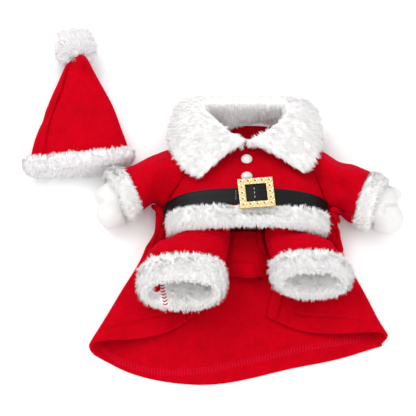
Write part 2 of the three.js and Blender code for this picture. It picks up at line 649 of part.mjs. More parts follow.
const domed = [V(0, 0, 0), V(BUTTON.r * 0.9, 0, 0), V(BUTTON.r, 0.8, 0)].map(({ x, y }) => new THREE.Vector2(x, y));
shares(5).slice(1).forEach((k) => domed.push(new THREE.Vector2(
  k === 1 ? 0 : BUTTON.r * Math.cos((Math.PI / 2) * k),
  0.8 + BUTTON.dome * Math.sin((Math.PI / 2) * k),
)));
for (const [name, y] of [['button_upper', 33], ['button_lower', 8.5]]) {
  const foot = onChest(chestAngle(2.4), y, CLOTH / 2 + SEAM_GAP + 0.15);
  const button = add(name, new THREE.LatheGeometry(domed, 16).deleteAttribute('uv').deleteAttribute('normal'),
    { color: 0xf6f4f2, roughness: 0.6 });
  button.position.copy(foot);
  const up = foot.clone().sub(onChest(chestAngle(2.4), y, 0)).normalize();
  button.quaternion.setFromUnitVectors(V(0, 1, 0), up);
}

// Plush band along the chest panel's lower edge

// It is pressed flat where the buckle lies on it.
const bandThick = (s, t) => {
  const pressed = bump(s - 0.545, 0.115) ** 0.5 * smoothstep(t, 0.2, 0.75);
  return Math.min(plush(HEM_BAND.thick, t, 0.42), plush(HEM_BAND.thick, s, 0.05)) * (1 - 0.74 * pressed);
};
const bandOut = (s, t) => CLOTH / 2 + 2 * SEAM_GAP + bandThick(s, t) / 2;
add('hem_band', wall(laid(bandOut, [-76.5, 82.5], [HEM_BAND.from, HEM_BAND.to], 28, 5), bandThick), WHITE);

// Gathered cloth at each side of the waist, between the belt's end and the skirt's fold

for (const side of ['left', 'right']) {
  const table = GATHER[side];
  const line = shares(10).map((s) => rowOf(table, s));
  const points = [];
  const around = 8;
  line.forEach(({ x, y, z, r }) => shares(around).slice(0, around).forEach((k) => {
    const a = 2 * Math.PI * k;
    points.push(V(x + r * Math.cos(a), y, Math.max(z + r * Math.sin(a), CLOTH + SEAM_GAP)));
  }));
  const faces = [];
  const at = (i, j) => i * around + (j % around);
  for (let i = 0; i < line.length - 1; i += 1) {
    for (let j = 0; j < around; j += 1) {
      faces.push(at(i, j), at(i, j + 1), at(i + 1, j + 1), at(i, j), at(i + 1, j + 1), at(i + 1, j));
    }
  }
  const ends = [points.length, points.length + 1];
  points.push(V(line[0].x, line[0].y + 1.5, line[0].z), V(line.at(-1).x, line.at(-1).y - 0.4, line.at(-1).z));
  for (let j = 0; j < around; j += 1) {
    faces.push(ends[0], at(0, j + 1), at(0, j), ends[1], at(line.length - 1, j), at(line.length - 1, j + 1));
  }
  const roll = new THREE.BufferGeometry().setFromPoints(points);
  roll.setIndex(faces);
  if (volume(roll) < 0) roll.setIndex(faces.reverse());
  add(`waist_gather_${side}`, roll, RED);
}

// Collar: a stand round the neck that folds over into two leaves

const shoulders = sight(group.children.filter(({ name }) => /chest|sleeve_(left|right)/.test(name))
  .map(({ geometry }) => geometry));
const collarRows = shares(32).map((c) => {
  const row = rowOf(COLLAR, c);
  const [foot, fold, edge] = ['b', 'f', 'o'].map((key) => V(row[`${key}x`], row[`${key}y`], row[`${key}z`]));
  const fall = edge.clone().sub(fold);
  const over = fold.clone().addScaledVector(fall, 0.3).add(V(0, 0, 2));
  const middle = fold.clone().addScaledVector(fall, 0.66).add(V(0, 0, 3));
  const section = new THREE.CatmullRomCurve3([foot, foot.clone().lerp(fold, 0.55), fold, over, middle, edge]);
  return shares(8).map((r) => {
    const p = section.getPoint(r);
    const clear = shoulders(p.x, p.y, 3) + CLOTH * 0.2 + SEAM_GAP + plush(PLUSH, r, 0.3) / 2;
    p.z = Math.max(p.z, clear, PLUSH / 2);
    return p;
  });
});
add('collar', wall(collarRows, (s, t) => Math.min(plush(PLUSH, t, 0.28), plush(PLUSH, s, 0.06))), WHITE);

// Hat: a cone lying on its side, its plush brim, and its pompom

const hatRing = ({ x, y, z, wide, high }, s, n) => shares(n).slice(0, n).map((k) => {
  const a = 2 * Math.PI * k;
  const top = Math.max(Math.sin(a), 0);
  const crease = 2.6 * bump(Math.cos(a) * wide + lerp(22, 6, s), 6) * Math.sin(Math.PI * Math.min(s * 1.05, 1));
  const slant = BRIM_SLANT * wide * Math.cos(a) * (1 - s);
  return V(x + wide * Math.cos(a), y + slant, z + high * power(Math.sin(a), 0.8) - crease * top);
});
const turnHat = (geometry) => geometry.translate(174, -50, 0).rotateZ(HAT_TURN).translate(-174, 50, 0);
const coneRows = shares(11).map((s) => hatRing(rowOf(HAT, s), s, 24));
const coneEnds = { ring: true, along: { first: () => V(0, 1, 0) } };
const cone = turnHat(wall(coneRows, (s) => lerp(CLOTH, 1.6, s), coneEnds));
add('hat_cone', cone, RED);

const brimRows = shares(5).map((s) => {
  const swell = Math.sin(Math.PI * s);
  return hatRing({
    ...HAT[0],
    y: HAT[0].y - SEAM_GAP - BRIM.length * s,
    z: BRIM.high + BRIM.thick / 2 - 0.4,
    wide: BRIM.wide - 1.5 + 1.5 * swell,
    high: BRIM.high,
  }, 0, 30);
});
add('hat_brim', turnHat(wall(brimRows, (s) => plush(BRIM.thick, s, 0.32), {
  ring: true,
  along: { first: () => V(0, 1, 0), last: () => V(0, 1, 0) },
})), WHITE);

// The pompom's locks stand out from a small ball, spread evenly, each with its own lean and length.
const heart = V(POMPOM.x, POMPOM.y, POMPOM.z);
let pompom = toSolid(new THREE.SphereGeometry(POMPOM.core, 12, 8).translate(...heart));
for (let k = 0; k < POMPOM.locks; k += 1) {
  const height = 1 - (2 * (k + 0.5)) / POMPOM.locks;
  const round = k * 2.39996 + 0.35 * Math.sin(k * 1.7);
  const flat = Math.sqrt(1 - height * height);
  const out = V(flat * Math.cos(round), flat * Math.sin(round), height);
  const room = out.z < 0 ? (POMPOM.z - 0.5) / -out.z : POMPOM.reach;
  const reach = Math.min(POMPOM.reach - 1.4 * (0.5 + 0.5 * Math.sin(k * 2.3)), room);
  const root = POMPOM.core - 3;
  const lock = new THREE.ConeGeometry(2.5, reach - root, 4).translate(0, (reach - root) / 2 + root, 0);
  lock.applyQuaternion(new THREE.Quaternion().setFromUnitVectors(V(0, 1, 0), out)).translate(...heart);
  pompom = pompom.add(toSolid(lock));
}
const parting = turnHat(wall(coneRows, (s) => CLOTH + 1.4 + 2 * s, { ring: true, floor: -5 }));
const tip = turnHat(new THREE.SphereGeometry(3.6, 10, 8).translate(HAT.at(-1).x, HAT.at(-1).y, HAT.at(-1).z));
const cut = pompom.subtract(toSolid(parting)).subtract(toSolid(tip)).decompose();
cut.sort((a, b) => b.volume() - a.volume());
add('hat_pompom', toGeometry(cut[0]), WHITE);

// The origin is on the surface, under the middle of the whole costume.
group.updateMatrixWorld(true);
const box = new THREE.Box3().setFromObject(group, true);
const middle = box.getCenter(V(0, 0, 0));
group.position.set(-middle.x, -middle.y, -box.min.z);

export default group;
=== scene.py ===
import math

import bpy
import numpy as np
from mathutils import Matrix, Vector, noise
from mathutils.bvhtree import BVHTree
from mathutils.kdtree import KDTree


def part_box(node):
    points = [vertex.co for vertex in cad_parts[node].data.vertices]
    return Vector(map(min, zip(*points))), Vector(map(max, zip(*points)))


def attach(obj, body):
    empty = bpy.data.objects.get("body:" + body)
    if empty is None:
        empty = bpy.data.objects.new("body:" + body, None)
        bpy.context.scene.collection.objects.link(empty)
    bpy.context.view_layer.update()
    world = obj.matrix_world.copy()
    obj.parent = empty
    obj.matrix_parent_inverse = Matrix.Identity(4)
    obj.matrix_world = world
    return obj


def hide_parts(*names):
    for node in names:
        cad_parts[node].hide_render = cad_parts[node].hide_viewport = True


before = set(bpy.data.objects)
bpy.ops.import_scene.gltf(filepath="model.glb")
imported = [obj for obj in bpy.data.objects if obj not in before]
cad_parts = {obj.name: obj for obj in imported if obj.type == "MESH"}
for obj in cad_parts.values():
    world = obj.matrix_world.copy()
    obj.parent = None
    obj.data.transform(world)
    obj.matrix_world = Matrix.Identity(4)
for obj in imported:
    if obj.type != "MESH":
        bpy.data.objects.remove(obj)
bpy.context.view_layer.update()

# The looks of a pet's Santa costume laid on its back: a fleece coat with plush trim, a belt and stuffed
# sleeves, and a cone hat beside it. Sizes are in metres, MM turns millimetres into them, and X and Y in
# millimetres count from the coat's own zero, which COAT_ZERO gives in the frame.

MM = 0.001
COAT_ZERO = Vector((0.03324, 0.00058, 0))
UP = np.array((0.0, 0.0, 1.0))
CAMERA_RISE = math.radians(60)  # the photograph looks down at this angle
TO_CAMERA = np.array((0.0, -math.cos(CAMERA_RISE), math.sin(CAMERA_RISE)))
BOTH = ("left", "right")
WHITE = (1, 1, 1)
BELT_UP = -19  # the belt's middle, on the coat's own Y
BELT_ROWS = (-1.3, 1.9)  # its two rows of stitches, from that middle
CHEST_AXIS = ((3, -60), (3, 70))
LENS = 329.7
LOOKS_AT = Vector((-0.00476, 0.00058, 0))  # the middle of the picture


# Small tools

def at(x, y, z=0.0):
    """A place in the coat's own millimetres, in the frame's metres."""
    return COAT_ZERO + Vector((x, y, z)) * MM


def alone(*pieces):
    """Selects these pieces and nothing else."""
    bpy.ops.object.select_all(action="DESELECT")
    for piece in pieces:
        piece.select_set(True)
    bpy.context.view_layer.objects.active = pieces[0]


def rows_of(items, key, kind=float):
    """Three numbers for each item of a mesh, as rows."""
    flat = np.empty(len(items) * 3, kind)
    items.foreach_get(key, flat)
    return flat.reshape(-1, 3)


def points_of(piece):
    return rows_of(piece.data.vertices, "co")


def normals_of(piece):
    return rows_of(piece.data.vertices, "normal")


def corners_of(piece):
    piece.data.calc_loop_triangles()
    return rows_of(piece.data.loop_triangles, "vertices", int)


def move_points(piece, points):
    piece.data.vertices.foreach_set("co", np.ravel(points))
    piece.data.update()


def own_millimetres(points):
    return (points - np.array(COAT_ZERO)) / MM


def seen(points):
    """Places as the camera sees them, in millimetres across and up the picture."""
    own = own_millimetres(points)
    up = own[:, 1] * math.sin(CAMERA_RISE) + own[:, 2] * math.cos(CAMERA_RISE)
    return np.stack([own[:, 0], up], axis=1)


def unit(vectors):
    return vectors / np.maximum(np.linalg.norm(vectors, axis=-1, keepdims=True), 1e-9)


def ease(x, low, high):
    t = np.clip((x - low) / (high - low), 0, 1)
    return t * t * (3 - 2 * t)


def modify(piece, kind, **values):
    """Adds a modifier, sets it and applies it."""
    alone(piece)
    bpy.ops.object.modifier_add(type=kind)
    modifier = piece.modifiers[-1]
    for key, value in values.items():
        setattr(modifier, key, value)
    bpy.ops.object.modifier_apply(modifier=modifier.name)


def smoothed(piece):
    alone(piece)
    bpy.ops.object.shade_smooth()


def subdivided(piece, levels):
    modify(piece, "SUBSURF", levels=levels, render_levels=levels)
    smoothed(piece)


def faced_out(piece):
    """Turns all faces outward, and leaves edit mode."""
    alone(piece)
    bpy.ops.object.mode_set(mode="EDIT")
    bpy.ops.mesh.select_all(action="SELECT")
    bpy.ops.mesh.normals_make_consistent(inside=False)
    bpy.ops.object.mode_set(mode="OBJECT")


def disc_to_pull(sides, radius, place, turn):
    """A disc in edit mode, all selected, to extrude a stud or a roll from."""
    bpy.ops.object.select_all(action="DESELECT")
    bpy.ops.mesh.primitive_circle_add(
        vertices=sides, radius=radius, fill_type="NGON", location=place, rotation=turn
    )
    bpy.ops.object.transform_apply(location=True, rotation=True, scale=True)
    bpy.ops.object.mode_set(mode="EDIT")
    bpy.ops.mesh.select_all(action="SELECT")
    return bpy.context.object


def thinned(piece, share):
    """Fewer triangles, fewest where the cloth is smooth."""
    modify(piece, "DECIMATE", ratio=share)


def from_solid(node, name, rim=0.0):
    """A piece on a solid's form, its triangles joined into a clean mesh. rim is how crisp its edges stay."""
    piece = bpy.data.objects.new(name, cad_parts[node].data.copy())
    bpy.context.scene.collection.objects.link(piece)
    piece.data.materials.clear()
    alone(piece)
    bpy.ops.mesh.customdata_custom_splitnormals_clear()
    bpy.ops.object.mode_set(mode="EDIT")
    bpy.ops.mesh.select_all(action="SELECT")
    bpy.ops.mesh.remove_doubles(threshold=0.02 * MM)
    flat, square = math.radians(50), math.radians(60)
    bpy.ops.mesh.tris_convert_to_quads(face_threshold=flat, shape_threshold=square)
    if rim:
        bpy.ops.mesh.select_mode(type="EDGE")
        bpy.ops.mesh.select_all(action="DESELECT")
        bpy.ops.mesh.edges_select_sharp(sharpness=math.radians(60))
        bpy.ops.transform.edge_crease(value=rim)
    bpy.ops.object.mode_set(mode="OBJECT")
    return piece


def from_mesh(name, points, faces):
    mesh = bpy.data.meshes.new(name)
    mesh.from_pydata(np.asarray(points, float).reshape(-1, 3).tolist(), [], faces)
    piece = bpy.data.objects.new(name, mesh)
    bpy.context.scene.collection.objects.link(piece)
    return piece


def finished(piece, material, slot, *nodes):
    """Gives a piece its finish, hangs it on the root body, and hides the nodes that it stands for."""
    piece.data.materials.clear()
    piece.data.materials.append(material)
    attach(piece, "root")
    if nodes:
        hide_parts(*nodes)
    return piece


# Finishes

def group_node(tree, group, **values):
    node = tree.nodes.new("ShaderNodeGroup")
    node.node_tree = group
    for key, value in values.items():
        node.inputs[key].default_value = value
    return node


def noise_node(tree, vector, scale, detail=3.0, roughness=0.55):
    node = tree.nodes.new("ShaderNodeTexNoise")
    node.inputs["Scale"].default_value = scale
    node.inputs["Detail"].default_value = detail
    node.inputs["Roughness"].default_value = roughness
    tree.links.new(vector, node.inputs["Vector"])
    return node.outputs["Fac"]


def maths(tree, operation, first, second, clamp=False):
    node = tree.nodes.new("ShaderNodeMath")
    node.operation = operation
    node.use_clamp = clamp
    for socket, value in zip(node.inputs, (first, second)):
        if isinstance(value, (int, float)):
            socket.default_value = value
        else:
            tree.links.new(value, socket)
    return node.outputs[0]


def ranged(tree, value, low, high, to_low, to_high):
    node = tree.nodes.new("ShaderNodeMapRange")
    tree.links.new(value, node.inputs["Value"])
    for key, number in zip(("From Min", "From Max", "To Min", "To Max"), (low, high, to_low, to_high)):
        node.inputs[key].default_value = number
    return node.outputs["Result"]


def mixed(tree, share, first, second):
    node = tree.nodes.new("ShaderNodeMix")
    node.data_type = "RGBA"
    tree.links.new(share, node.inputs["Factor"])
    for socket, colour in ((node.inputs["A"], first), (node.inputs["B"], second)):
        if isinstance(colour, tuple):
            socket.default_value = (*colour, 1)
        else:
            tree.links.new(colour, socket)
    return node.outputs["Result"]


def new_group(name, inputs, outputs):
    group = bpy.data.node_groups.new(name, "ShaderNodeTree")
    for label, kind, value in inputs:
        socket = group.interface.new_socket(label, in_out="INPUT", socket_type=kind)
        socket.default_value = value
    for label, kind in outputs:
        group.interface.new_socket(label, in_out="OUTPUT", socket_type=kind)
    return group, group.nodes.new("NodeGroupInput"), group.nodes.new("NodeGroupOutput")


def make_nap_group():
    """Brushed nap: Tone is the mottling that brushing leaves, Height its short fibres."""
    group, _, out = new_group(
        "brushed nap",
        [],
        [("Tone", "NodeSocketFloat"), ("Height", "NodeSocketFloat")],
    )
    where = group.nodes.new("ShaderNodeTexCoord").outputs["Object"]
    broad = noise_node(group, where, 55, 3, 0.6)
    brushed = noise_node(group, where, 260, 3, 0.6)
    fibres = noise_node(group, where, 1500, 2, 0.6)
    tone = maths(group, "MULTIPLY", broad, 0.4)
    tone = maths(group, "ADD", tone, maths(group, "MULTIPLY", brushed, 0.35))
    tone = maths(group, "ADD", tone, maths(group, "MULTIPLY", fibres, 0.25))
    height = maths(group, "MULTIPLY", brushed, 0.4)
    height = maths(group, "ADD", height, maths(group, "MULTIPLY", fibres, 0.6))
    group.links.new(ranged(group, tone, 0.32, 0.68, 0, 1), out.inputs["Tone"])
    group.links.new(height, out.inputs["Height"])
    return group


def bumped(tree, height, strength, distance):
    node = tree.nodes.new("ShaderNodeBump")
    node.inputs["Strength"].default_value = strength
    node.inputs["Distance"].default_value = distance
    tree.links.new(height, node.inputs["Height"])
    return node.outputs["Normal"]


def new_finish(name, **sockets):
    """A material and its shader, with plain values on the shader's own sockets."""
    material = bpy.data.materials.new(name)
    material.use_nodes = True
    shader = material.node_tree.nodes["Principled BSDF"]
    for key, value in sockets.items():
        label = key.replace("_", " ")
        shader.inputs[label].default_value = (*value, 1) if isinstance(value, tuple) else value
    return material, material.node_tree, shader


def make_fleece(name, deep, bright, nap, sheen=0.3, tint=(1.0, 0.0, 0.12), bump=0.35, specular=0.03):
    material, tree, shader = new_finish(
        name,
        Roughness=0.9,
        Sheen_Weight=sheen,
        Sheen_Roughness=0.42,
        Sheen_Tint=tint,
        Specular_IOR_Level=specular,
    )
    brushed = group_node(tree, nap)
    colour = mixed(tree, brushed.outputs["Tone"], deep, bright)
    tree.links.new(colour, shader.inputs["Base Color"])
    tree.links.new(bumped(tree, brushed.outputs["Height"], bump, 0.6 * MM), shader.inputs["Normal"])
    return material


def make_pile_finish(name, root, tip, nap):
    """Plush strands: darker down at the root, where less light reaches the yarn."""
    material, tree, shader = new_finish(
        name, Roughness=0.9, Sheen_Weight=0.6, Sheen_Roughness=0.6, Specular_IOR_Level=0.1
    )
    height = tree.nodes.new("ShaderNodeAttribute")
    height.attribute_name = "tip"
    brushed = group_node(tree, nap)
    uneven = ranged(tree, brushed.outputs["Tone"], 0, 1, 0.8, 1.1)
    share = maths(tree, "MULTIPLY", height.outputs["Fac"], uneven)
    tree.links.new(mixed(tree, share, root, tip), shader.inputs["Base Color"])
    return material


def make_leather():
    material, tree, shader = new_finish("black belt leather", Specular_IOR_Level=0.12)
    where = tree.nodes.new("ShaderNodeTexCoord").outputs["Object"]
    grain = tree.nodes.new("ShaderNodeTexVoronoi")
    grain.feature = "DISTANCE_TO_EDGE"
    grain.inputs["Scale"].default_value = 1100
    tree.links.new(where, grain.inputs["Vector"])
    pores = ranged(tree, grain.outputs["Distance"], 0, 0.12, 0, 1)
    worn = noise_node(tree, where, 90, 4)
    colour = mixed(tree, worn, (0.003, 0.003, 0.0035), (0.01, 0.01, 0.011))
    tree.links.new(colour, shader.inputs["Base Color"])
    tree.links.new(ranged(tree, worn, 0.3, 0.7, 0.3, 0.46), shader.inputs["Roughness"])
    tree.links.new(bumped(tree, pores, 0.25, 0.15 * MM), shader.inputs["Normal"])
    return material


def make_plating(name, dark, light, roughness):
    material, tree, shader = new_finish(name, Metallic=1.0)
    where = tree.nodes.new("ShaderNodeTexCoord").outputs["Object"]
    cloud = noise_node(tree, where, 700, 3)
    tree.links.new(mixed(tree, cloud, dark, light), shader.inputs["Base Color"])
    worn = ranged(tree, cloud, 0.3, 0.7, roughness - 0.06, roughness + 0.08)
    tree.links.new(worn, shader.inputs["Roughness"])
    return material


def make_plain(name, first, second, scale, roughness, specular=0.5, **sockets):
    material, tree, shader = new_finish(name, Specular_IOR_Level=specular, **sockets)
    where = tree.nodes.new("ShaderNodeTexCoord").outputs["Object"]
    cloud = noise_node(tree, where, scale, 3)
    tree.links.new(mixed(tree, cloud, first, second), shader.inputs["Base Color"])
    worn = ranged(tree, cloud, 0.3, 0.7, roughness - 0.05, roughness + 0.05)
    tree.links.new(worn, shader.inputs["Roughness"])
    return material


# Light, floor and camera

def make_studio():
    scene = bpy.context.scene
    scene.view_settings.view_transform = "Standard"
    world = bpy.data.worlds.new("white studio")
    world.use_nodes = True
    world.node_tree.nodes["Background"].inputs["Color"].default_value = (1, 1, 1, 1)
    world.node_tree.nodes["Background"].inputs["Strength"].default_value = 1.0
    scene.world = world
    for name, place, size, energy in (
        ("window", (-0.8, 0.95, 1.5), 1.4, 16.0),
        ("front panel", (0.4, -1.4, 1.15), 1.5, 13.5),
    ):
        lamp = bpy.data.lights.new(name, "AREA")
        lamp.size = size
        lamp.energy = energy
        holder = bpy.data.objects.new(name, lamp)
        holder.location = place
        holder.rotation_euler = (-Vector(place)).to_track_quat("-Z", "Y").to_euler()
        scene.collection.objects.link(holder)


def make_floor():
    bpy.ops.object.select_all(action="DESELECT")
    bpy.ops.mesh.primitive_plane_add(size=6, location=(0, 0, 0))
    floor = bpy.context.object
    floor.name = "studio_floor"
    alone(floor)
    bpy.ops.object.mode_set(mode="EDIT")
    bpy.ops.mesh.subdivide(number_cuts=3)
    bpy.ops.object.mode_set(mode="OBJECT")
    floor.data.materials.append(make_plain("white paper", (0.93, 0.93, 0.93), (0.97, 0.97, 0.97), 3, 0.8))


def make_camera():
    data = bpy.data.cameras.new("view")
    data.lens = LENS
    data.sensor_width = 36
    camera = bpy.data.objects.new("view", data)
    camera.location = LOOKS_AT + Vector(TO_CAMERA) * 4.0
    camera.rotation_euler = (LOOKS_AT - camera.location).to_track_quat("-Z", "Y").to_euler()
    data.clip_end = 20
    bpy.context.scene.collection.objects.link(camera)
    bpy.context.scene.camera = camera


# Folds in cloth

def measured(line):
    """A line's points, the length of each step between them, and how far along it each point is."""
    line = np.array(line, float)
    steps = np.linalg.norm(np.diff(line, axis=0), axis=1)
    return line, steps, np.concatenate([[0], np.cumsum(steps)])


def line_distance(places, line):
    """How far places are from a line of points, and at what share of its length each is nearest."""
    line, steps, starts = measured(line)
    best, share = np.full(len(places), np.inf), np.zeros(len(places))
    for k, (a, b) in enumerate(zip(line[:-1], line[1:])):
        t = np.clip(((places - a) @ (b - a)) / max(steps[k] ** 2, 1e-12), 0, 1)
        far = np.linalg.norm(places - a - t[:, None] * (b - a), axis=1)
        nearer = far < best
        best[nearer] = far[nearer]
        share[nearer] = (starts[k] + t[nearer] * steps[k]) / starts[-1]
    return best, share


def above_floor(points):
    points[:, 2] = np.maximum(points[:, 2], 0)
    return points


def crease(piece, way, line, width, depth, side=1):
    """A soft trough along a line as seen from the camera, with a low roll on each side. A negative depth is a
    ridge. It dies away at both ends, and past the outline. With side -1 it is on the side that faces away."""
    points = points_of(piece)
    far, share = line_distance(seen(points), line)
    ends = ease(share, 0, 0.25) * ease(-share, -1.0, -0.75)
    facing = ease(side * (way @ TO_CAMERA), 0.0, 0.5)
    shape = np.exp(-((far / width) ** 2)) - 0.35 * np.exp(-(((far - 2 * width) / width) ** 2))
    move_points(piece, above_floor(points - way * (depth * MM * shape * ends * facing)[:, None]))


def undulate(piece, way, size, height, seed):
    """Slow unevenness, as cloth has that was filled out and patted flat."""
    points = points_of(piece)
    away = Vector((seed * 7.3, seed * 3.1, seed * 5.7))
    lift = np.array([noise.noise(Vector(p) / (size * MM) + away) for p in points])
    move_points(piece, above_floor(points + way * (height * MM * lift)[:, None]))


def away_from(points, first, last, flat=1.0):
    """Unit directions away from a straight line between two places, for a tube pressed flat by so much."""
    a, b = np.array(first), np.array(last)
    t = ((points - a) @ (b - a)) / ((b - a) @ (b - a))
    out = points - a - t[:, None] * (b - a)
    out[:, 2] *= flat
    return unit(out)


def draw(piece, centre, reach, shift):
    """Draws the cloth round a place in the picture to one side, in millimetres, less with distance."""
    points = points_of(piece)
    far = np.linalg.norm(seen(points) - np.array(centre), axis=1)
    move_points(piece, above_floor(points + np.exp(-((far / reach) ** 2))[:, None] * np.array(shift) * MM))


def pressed_together(piece, gap):
    """Closes a thin gap between two layers that press on each other, in millimetres on each side."""
    move_points(piece, points_of(piece) + normals_of(piece) * gap * MM)
    modify(piece, "REMESH", mode="VOXEL", voxel_size=1.7 * MM)
    move_points(piece, points_of(piece) - normals_of(piece) * gap * MM)
    modify(piece, "SMOOTH", factor=0.5, iterations=8)
    move_points(piece, above_floor(points_of(piece)))


def recoloured(piece, material, chosen):
    """Gives a second finish to the faces that are chosen by their middles and directions."""
    piece.data.materials.append(material)
    faces = piece.data.polygons
    marked = chosen(rows_of(faces, "center"), rows_of(faces, "normal"))
    slots = np.empty(len(faces), int)
    faces.foreach_get("material_index", slots)
    slots[marked] = len(piece.data.materials) - 1
    faces.foreach_set("material_index", slots)
    piece.data.update()


# Sewing

def surface_of(piece):
    return BVHTree.FromPolygons([Vector(p) for p in points_of(piece)], corners_of(piece).tolist())


def under_camera(surface, across, up):
    """The place and normal on a surface that the camera sees at a place in the picture, in millimetres."""
    start = at(across, up / math.sin(CAMERA_RISE)) + Vector(TO_CAMERA) * 0.3
    place, normal, _, _ = surface.ray_cast(start, -Vector(TO_CAMERA))
    return place, normal


def along_line(line, pitch):
    """Places a pitch apart along a line of points in the picture, and the way it runs at each."""
    line, _, starts = measured(line)
    wanted = np.arange(pitch / 2, starts[-1], pitch)
    places, ahead, behind = (
        np.stack([np.interp(wanted + step, starts, line[:, k]) for k in (0, 1)], axis=1) for step in (0, 1, -1)
    )
    return places, unit(ahead - behind)


def smooth_line(rows, count=60):
    """A soft curve through a few places."""
    rows = np.array(rows, float)
    t = np.linspace(0, len(rows) - 1, count)
    k = np.clip(t.astype(int), 0, len(rows) - 2)
    f = (t - k)[:, None]
    before, after = rows[np.maximum(k - 1, 0)], rows[np.minimum(k + 2, len(rows) - 1)]
    a, b = rows[k], rows[k + 1]
    return 0.5 * (2 * a + (b - before) * f + (2 * before - 5 * a + 4 * b - after) * f ** 2
                  + (3 * a - before - 3 * b + after) * f ** 3)


def make_threads(name, ends, thick, proud=0.35):
    """Stitches: each a short closed spindle of thread from one place to another, bowed out of the cloth."""
    sides, rings = 5, ((0.0, 0.35), (0.25, 0.9), (0.5, 1.0), (0.75, 0.9), (1.0, 0.35))
    points, faces = [], []
    for a, b, normal in ends:
        way = (b - a).normalized()
        side = way.cross(normal).normalized()
        up = side.cross(way)
        first = len(points)
        for share, wide in rings:
            middle = a.lerp(b, share) + up * thick * MM * (proud * math.sin(math.pi * share) - 0.15)
            for k in range(sides):
                angle = 2 * math.pi * k / sides
                spoke = side * math.cos(angle) + up * math.sin(angle)
                points.append(middle + spoke * (0.5 * thick * wide * MM))
        for ring in range(len(rings) - 1):
            for k in range(sides):
                low, n = first + ring * sides, (k + 1) % sides
                faces.append((low + k, low + n, low + sides + n, low + sides + k))
        last = first + (len(rings) - 1) * sides
        faces.append(tuple(first + k for k in reversed(range(sides))))
        faces.append(tuple(last + k for k in range(sides)))
    piece = from_mesh(name, [tuple(p) for p in points], faces)
    faced_out(piece)
    smoothed(piece)
    return piece


def stitch_row(surface, line, pitch, long, across=(0.0, 0.0)):
    """The two ends and the cloth's direction for each stitch of a row. across moves each end to one side."""
    ends = []
    places, ways = along_line(line, pitch)
    for (x, y), (dx, dy) in zip(places, ways):
        both = []
        for half, aside in ((-0.5, across[0]), (0.5, across[1])):
            spot = (x + dx * half * long - dy * aside, y + dy * half * long + dx * aside)
            both.append(under_camera(surface, *spot))
        (a, normal), (b, _) = both
        longest = 2.5 * MM * (long + abs(across[1] - across[0]))
        if a is not None and b is not None and (b - a).length < longest:
            ends.append((a, b, normal))
    return ends


# Plush pile

def scatter(piece, count, rng, keep=None):
    """Places spread over a piece's faces at random, and the surface's direction at each."""
    corners, points, normals = corners_of(piece), points_of(piece), normals_of(piece)
    a, b, c = (points[corners[:, k]] for k in range(3))
    area = np.linalg.norm(np.cross(b - a, c - a), axis=1)
    if keep is not None:
        area = area * keep((a + b + c) / 3, unit(np.cross(b - a, c - a)))
    pick = rng.choice(len(area), count, p=area / area.sum())
    u, v = rng.random((2, count, 1))
    over = u + v > 1
    u, v = np.where(over, 1 - u, u), np.where(over, 1 - v, v)
    shares = (1 - u - v, u, v)
    place = sum(share * points[corners[pick, k]] for k, share in enumerate(shares))
    normal = unit(sum(share * normals[corners[pick, k]] for k, share in enumerate(shares)))
    return place, normal


def make_pile(name, base, count, length, thick, flow, rise, seed, keep=None, gather=0.32, stray=0.09, tuft=12,
              lean=0.11):
    """Strands of pile on a piece: closed flat spikes that lean along flow and draw together into tufts.
    rise is how far they stand up from the cloth, from 0, lying, to 1, upright. tuft is strands in each."""
    rng = np.random.default_rng(seed)
    root, normal = scatter(base, count, rng, keep)
    along = flow(root, normal)
    along = along - normal * (along * normal).sum(1)[:, None]
    along /= np.maximum(np.linalg.norm(along, axis=1, keepdims=True), 0.6)
    middles = rng.choice(count, count // tuft, replace=False)
    tree = KDTree(len(middles))
    for k, m in enumerate(middles):
        tree.insert(root[m], k)
    tree.balance()
    mine = np.array([tree.find(p)[1] for p in root])
    leans = rng.normal(0, lean, (len(middles), 3))
    grown = 1 + rng.normal(0, 0.16, len(middles))
    way = unit(normal * rise + along * (1 - rise) + leans[mine] + rng.normal(0, stray, (count, 3)))
    long = length * MM * grown[mine] * rng.uniform(0.7, 1.12, count)
    tip = root + way * long[:, None]
    tip += gather * (tip[middles][mine] - tip)
    tip[:, 2] = np.maximum(tip[:, 2], 0.2 * MM)
    side = unit(np.cross(tip - root, normal + rng.normal(0, 0.2, (count, 3))))
    over = unit(np.cross(side, tip - root))
    wide = 0.5 * thick * MM * rng.uniform(0.8, 1.2, count)[:, None]
    foot = root - normal * 0.15 * MM
    ring = [foot + wide * side, foot + wide * 0.45 * over, foot - wide * side]
    points = np.stack([*ring, tip], axis=1).reshape(-1, 3)
    first = np.arange(count)[:, None] * 4
    faces = np.concatenate([first + np.array(f) for f in ((1, 0, 3), (2, 1, 3), (0, 2, 3), (0, 1, 2))])
    pile = from_mesh(name, points, faces.tolist())
    heights = pile.data.attributes.new("tip", "FLOAT", "POINT")
    heights.data.foreach_set("value", np.tile([0.0, 0.0, 0.0, 1.0], count))
    smoothed(pile)
    soft = unit(normals_of(pile) * 0.45 + np.repeat(normal, 4, axis=0) * 0.35 + UP * 0.35)
    pile.data.normals_split_custom_set_from_vertices(soft.tolist())
    return pile


def shrink(piece, by, middle=None, fill=(0, 0, 0)):
    """Takes a piece in along its own surface, to leave room for the pile over it. With a middle, only its
    outer side is taken in, and its inner side is filled out by so much across, along and up."""
    share = 1.0
    normals = normals_of(piece)
    if middle is not None:
        share = ease((normals * unit(points_of(piece) - np.array(middle))).sum(1), -0.3, 0.3)[:, None]
    upward = np.stack([np.ones(len(normals)), np.ones(len(normals)), normals[:, 2] > 0], axis=1)
    points = points_of(piece) + normals * (np.array(fill) * upward * (1 - share) - np.array(by) * share) * MM
    points[:, 2] = np.maximum(points[:, 2], 0.3 * MM)
    move_points(piece, points)


# Coat of red fleece

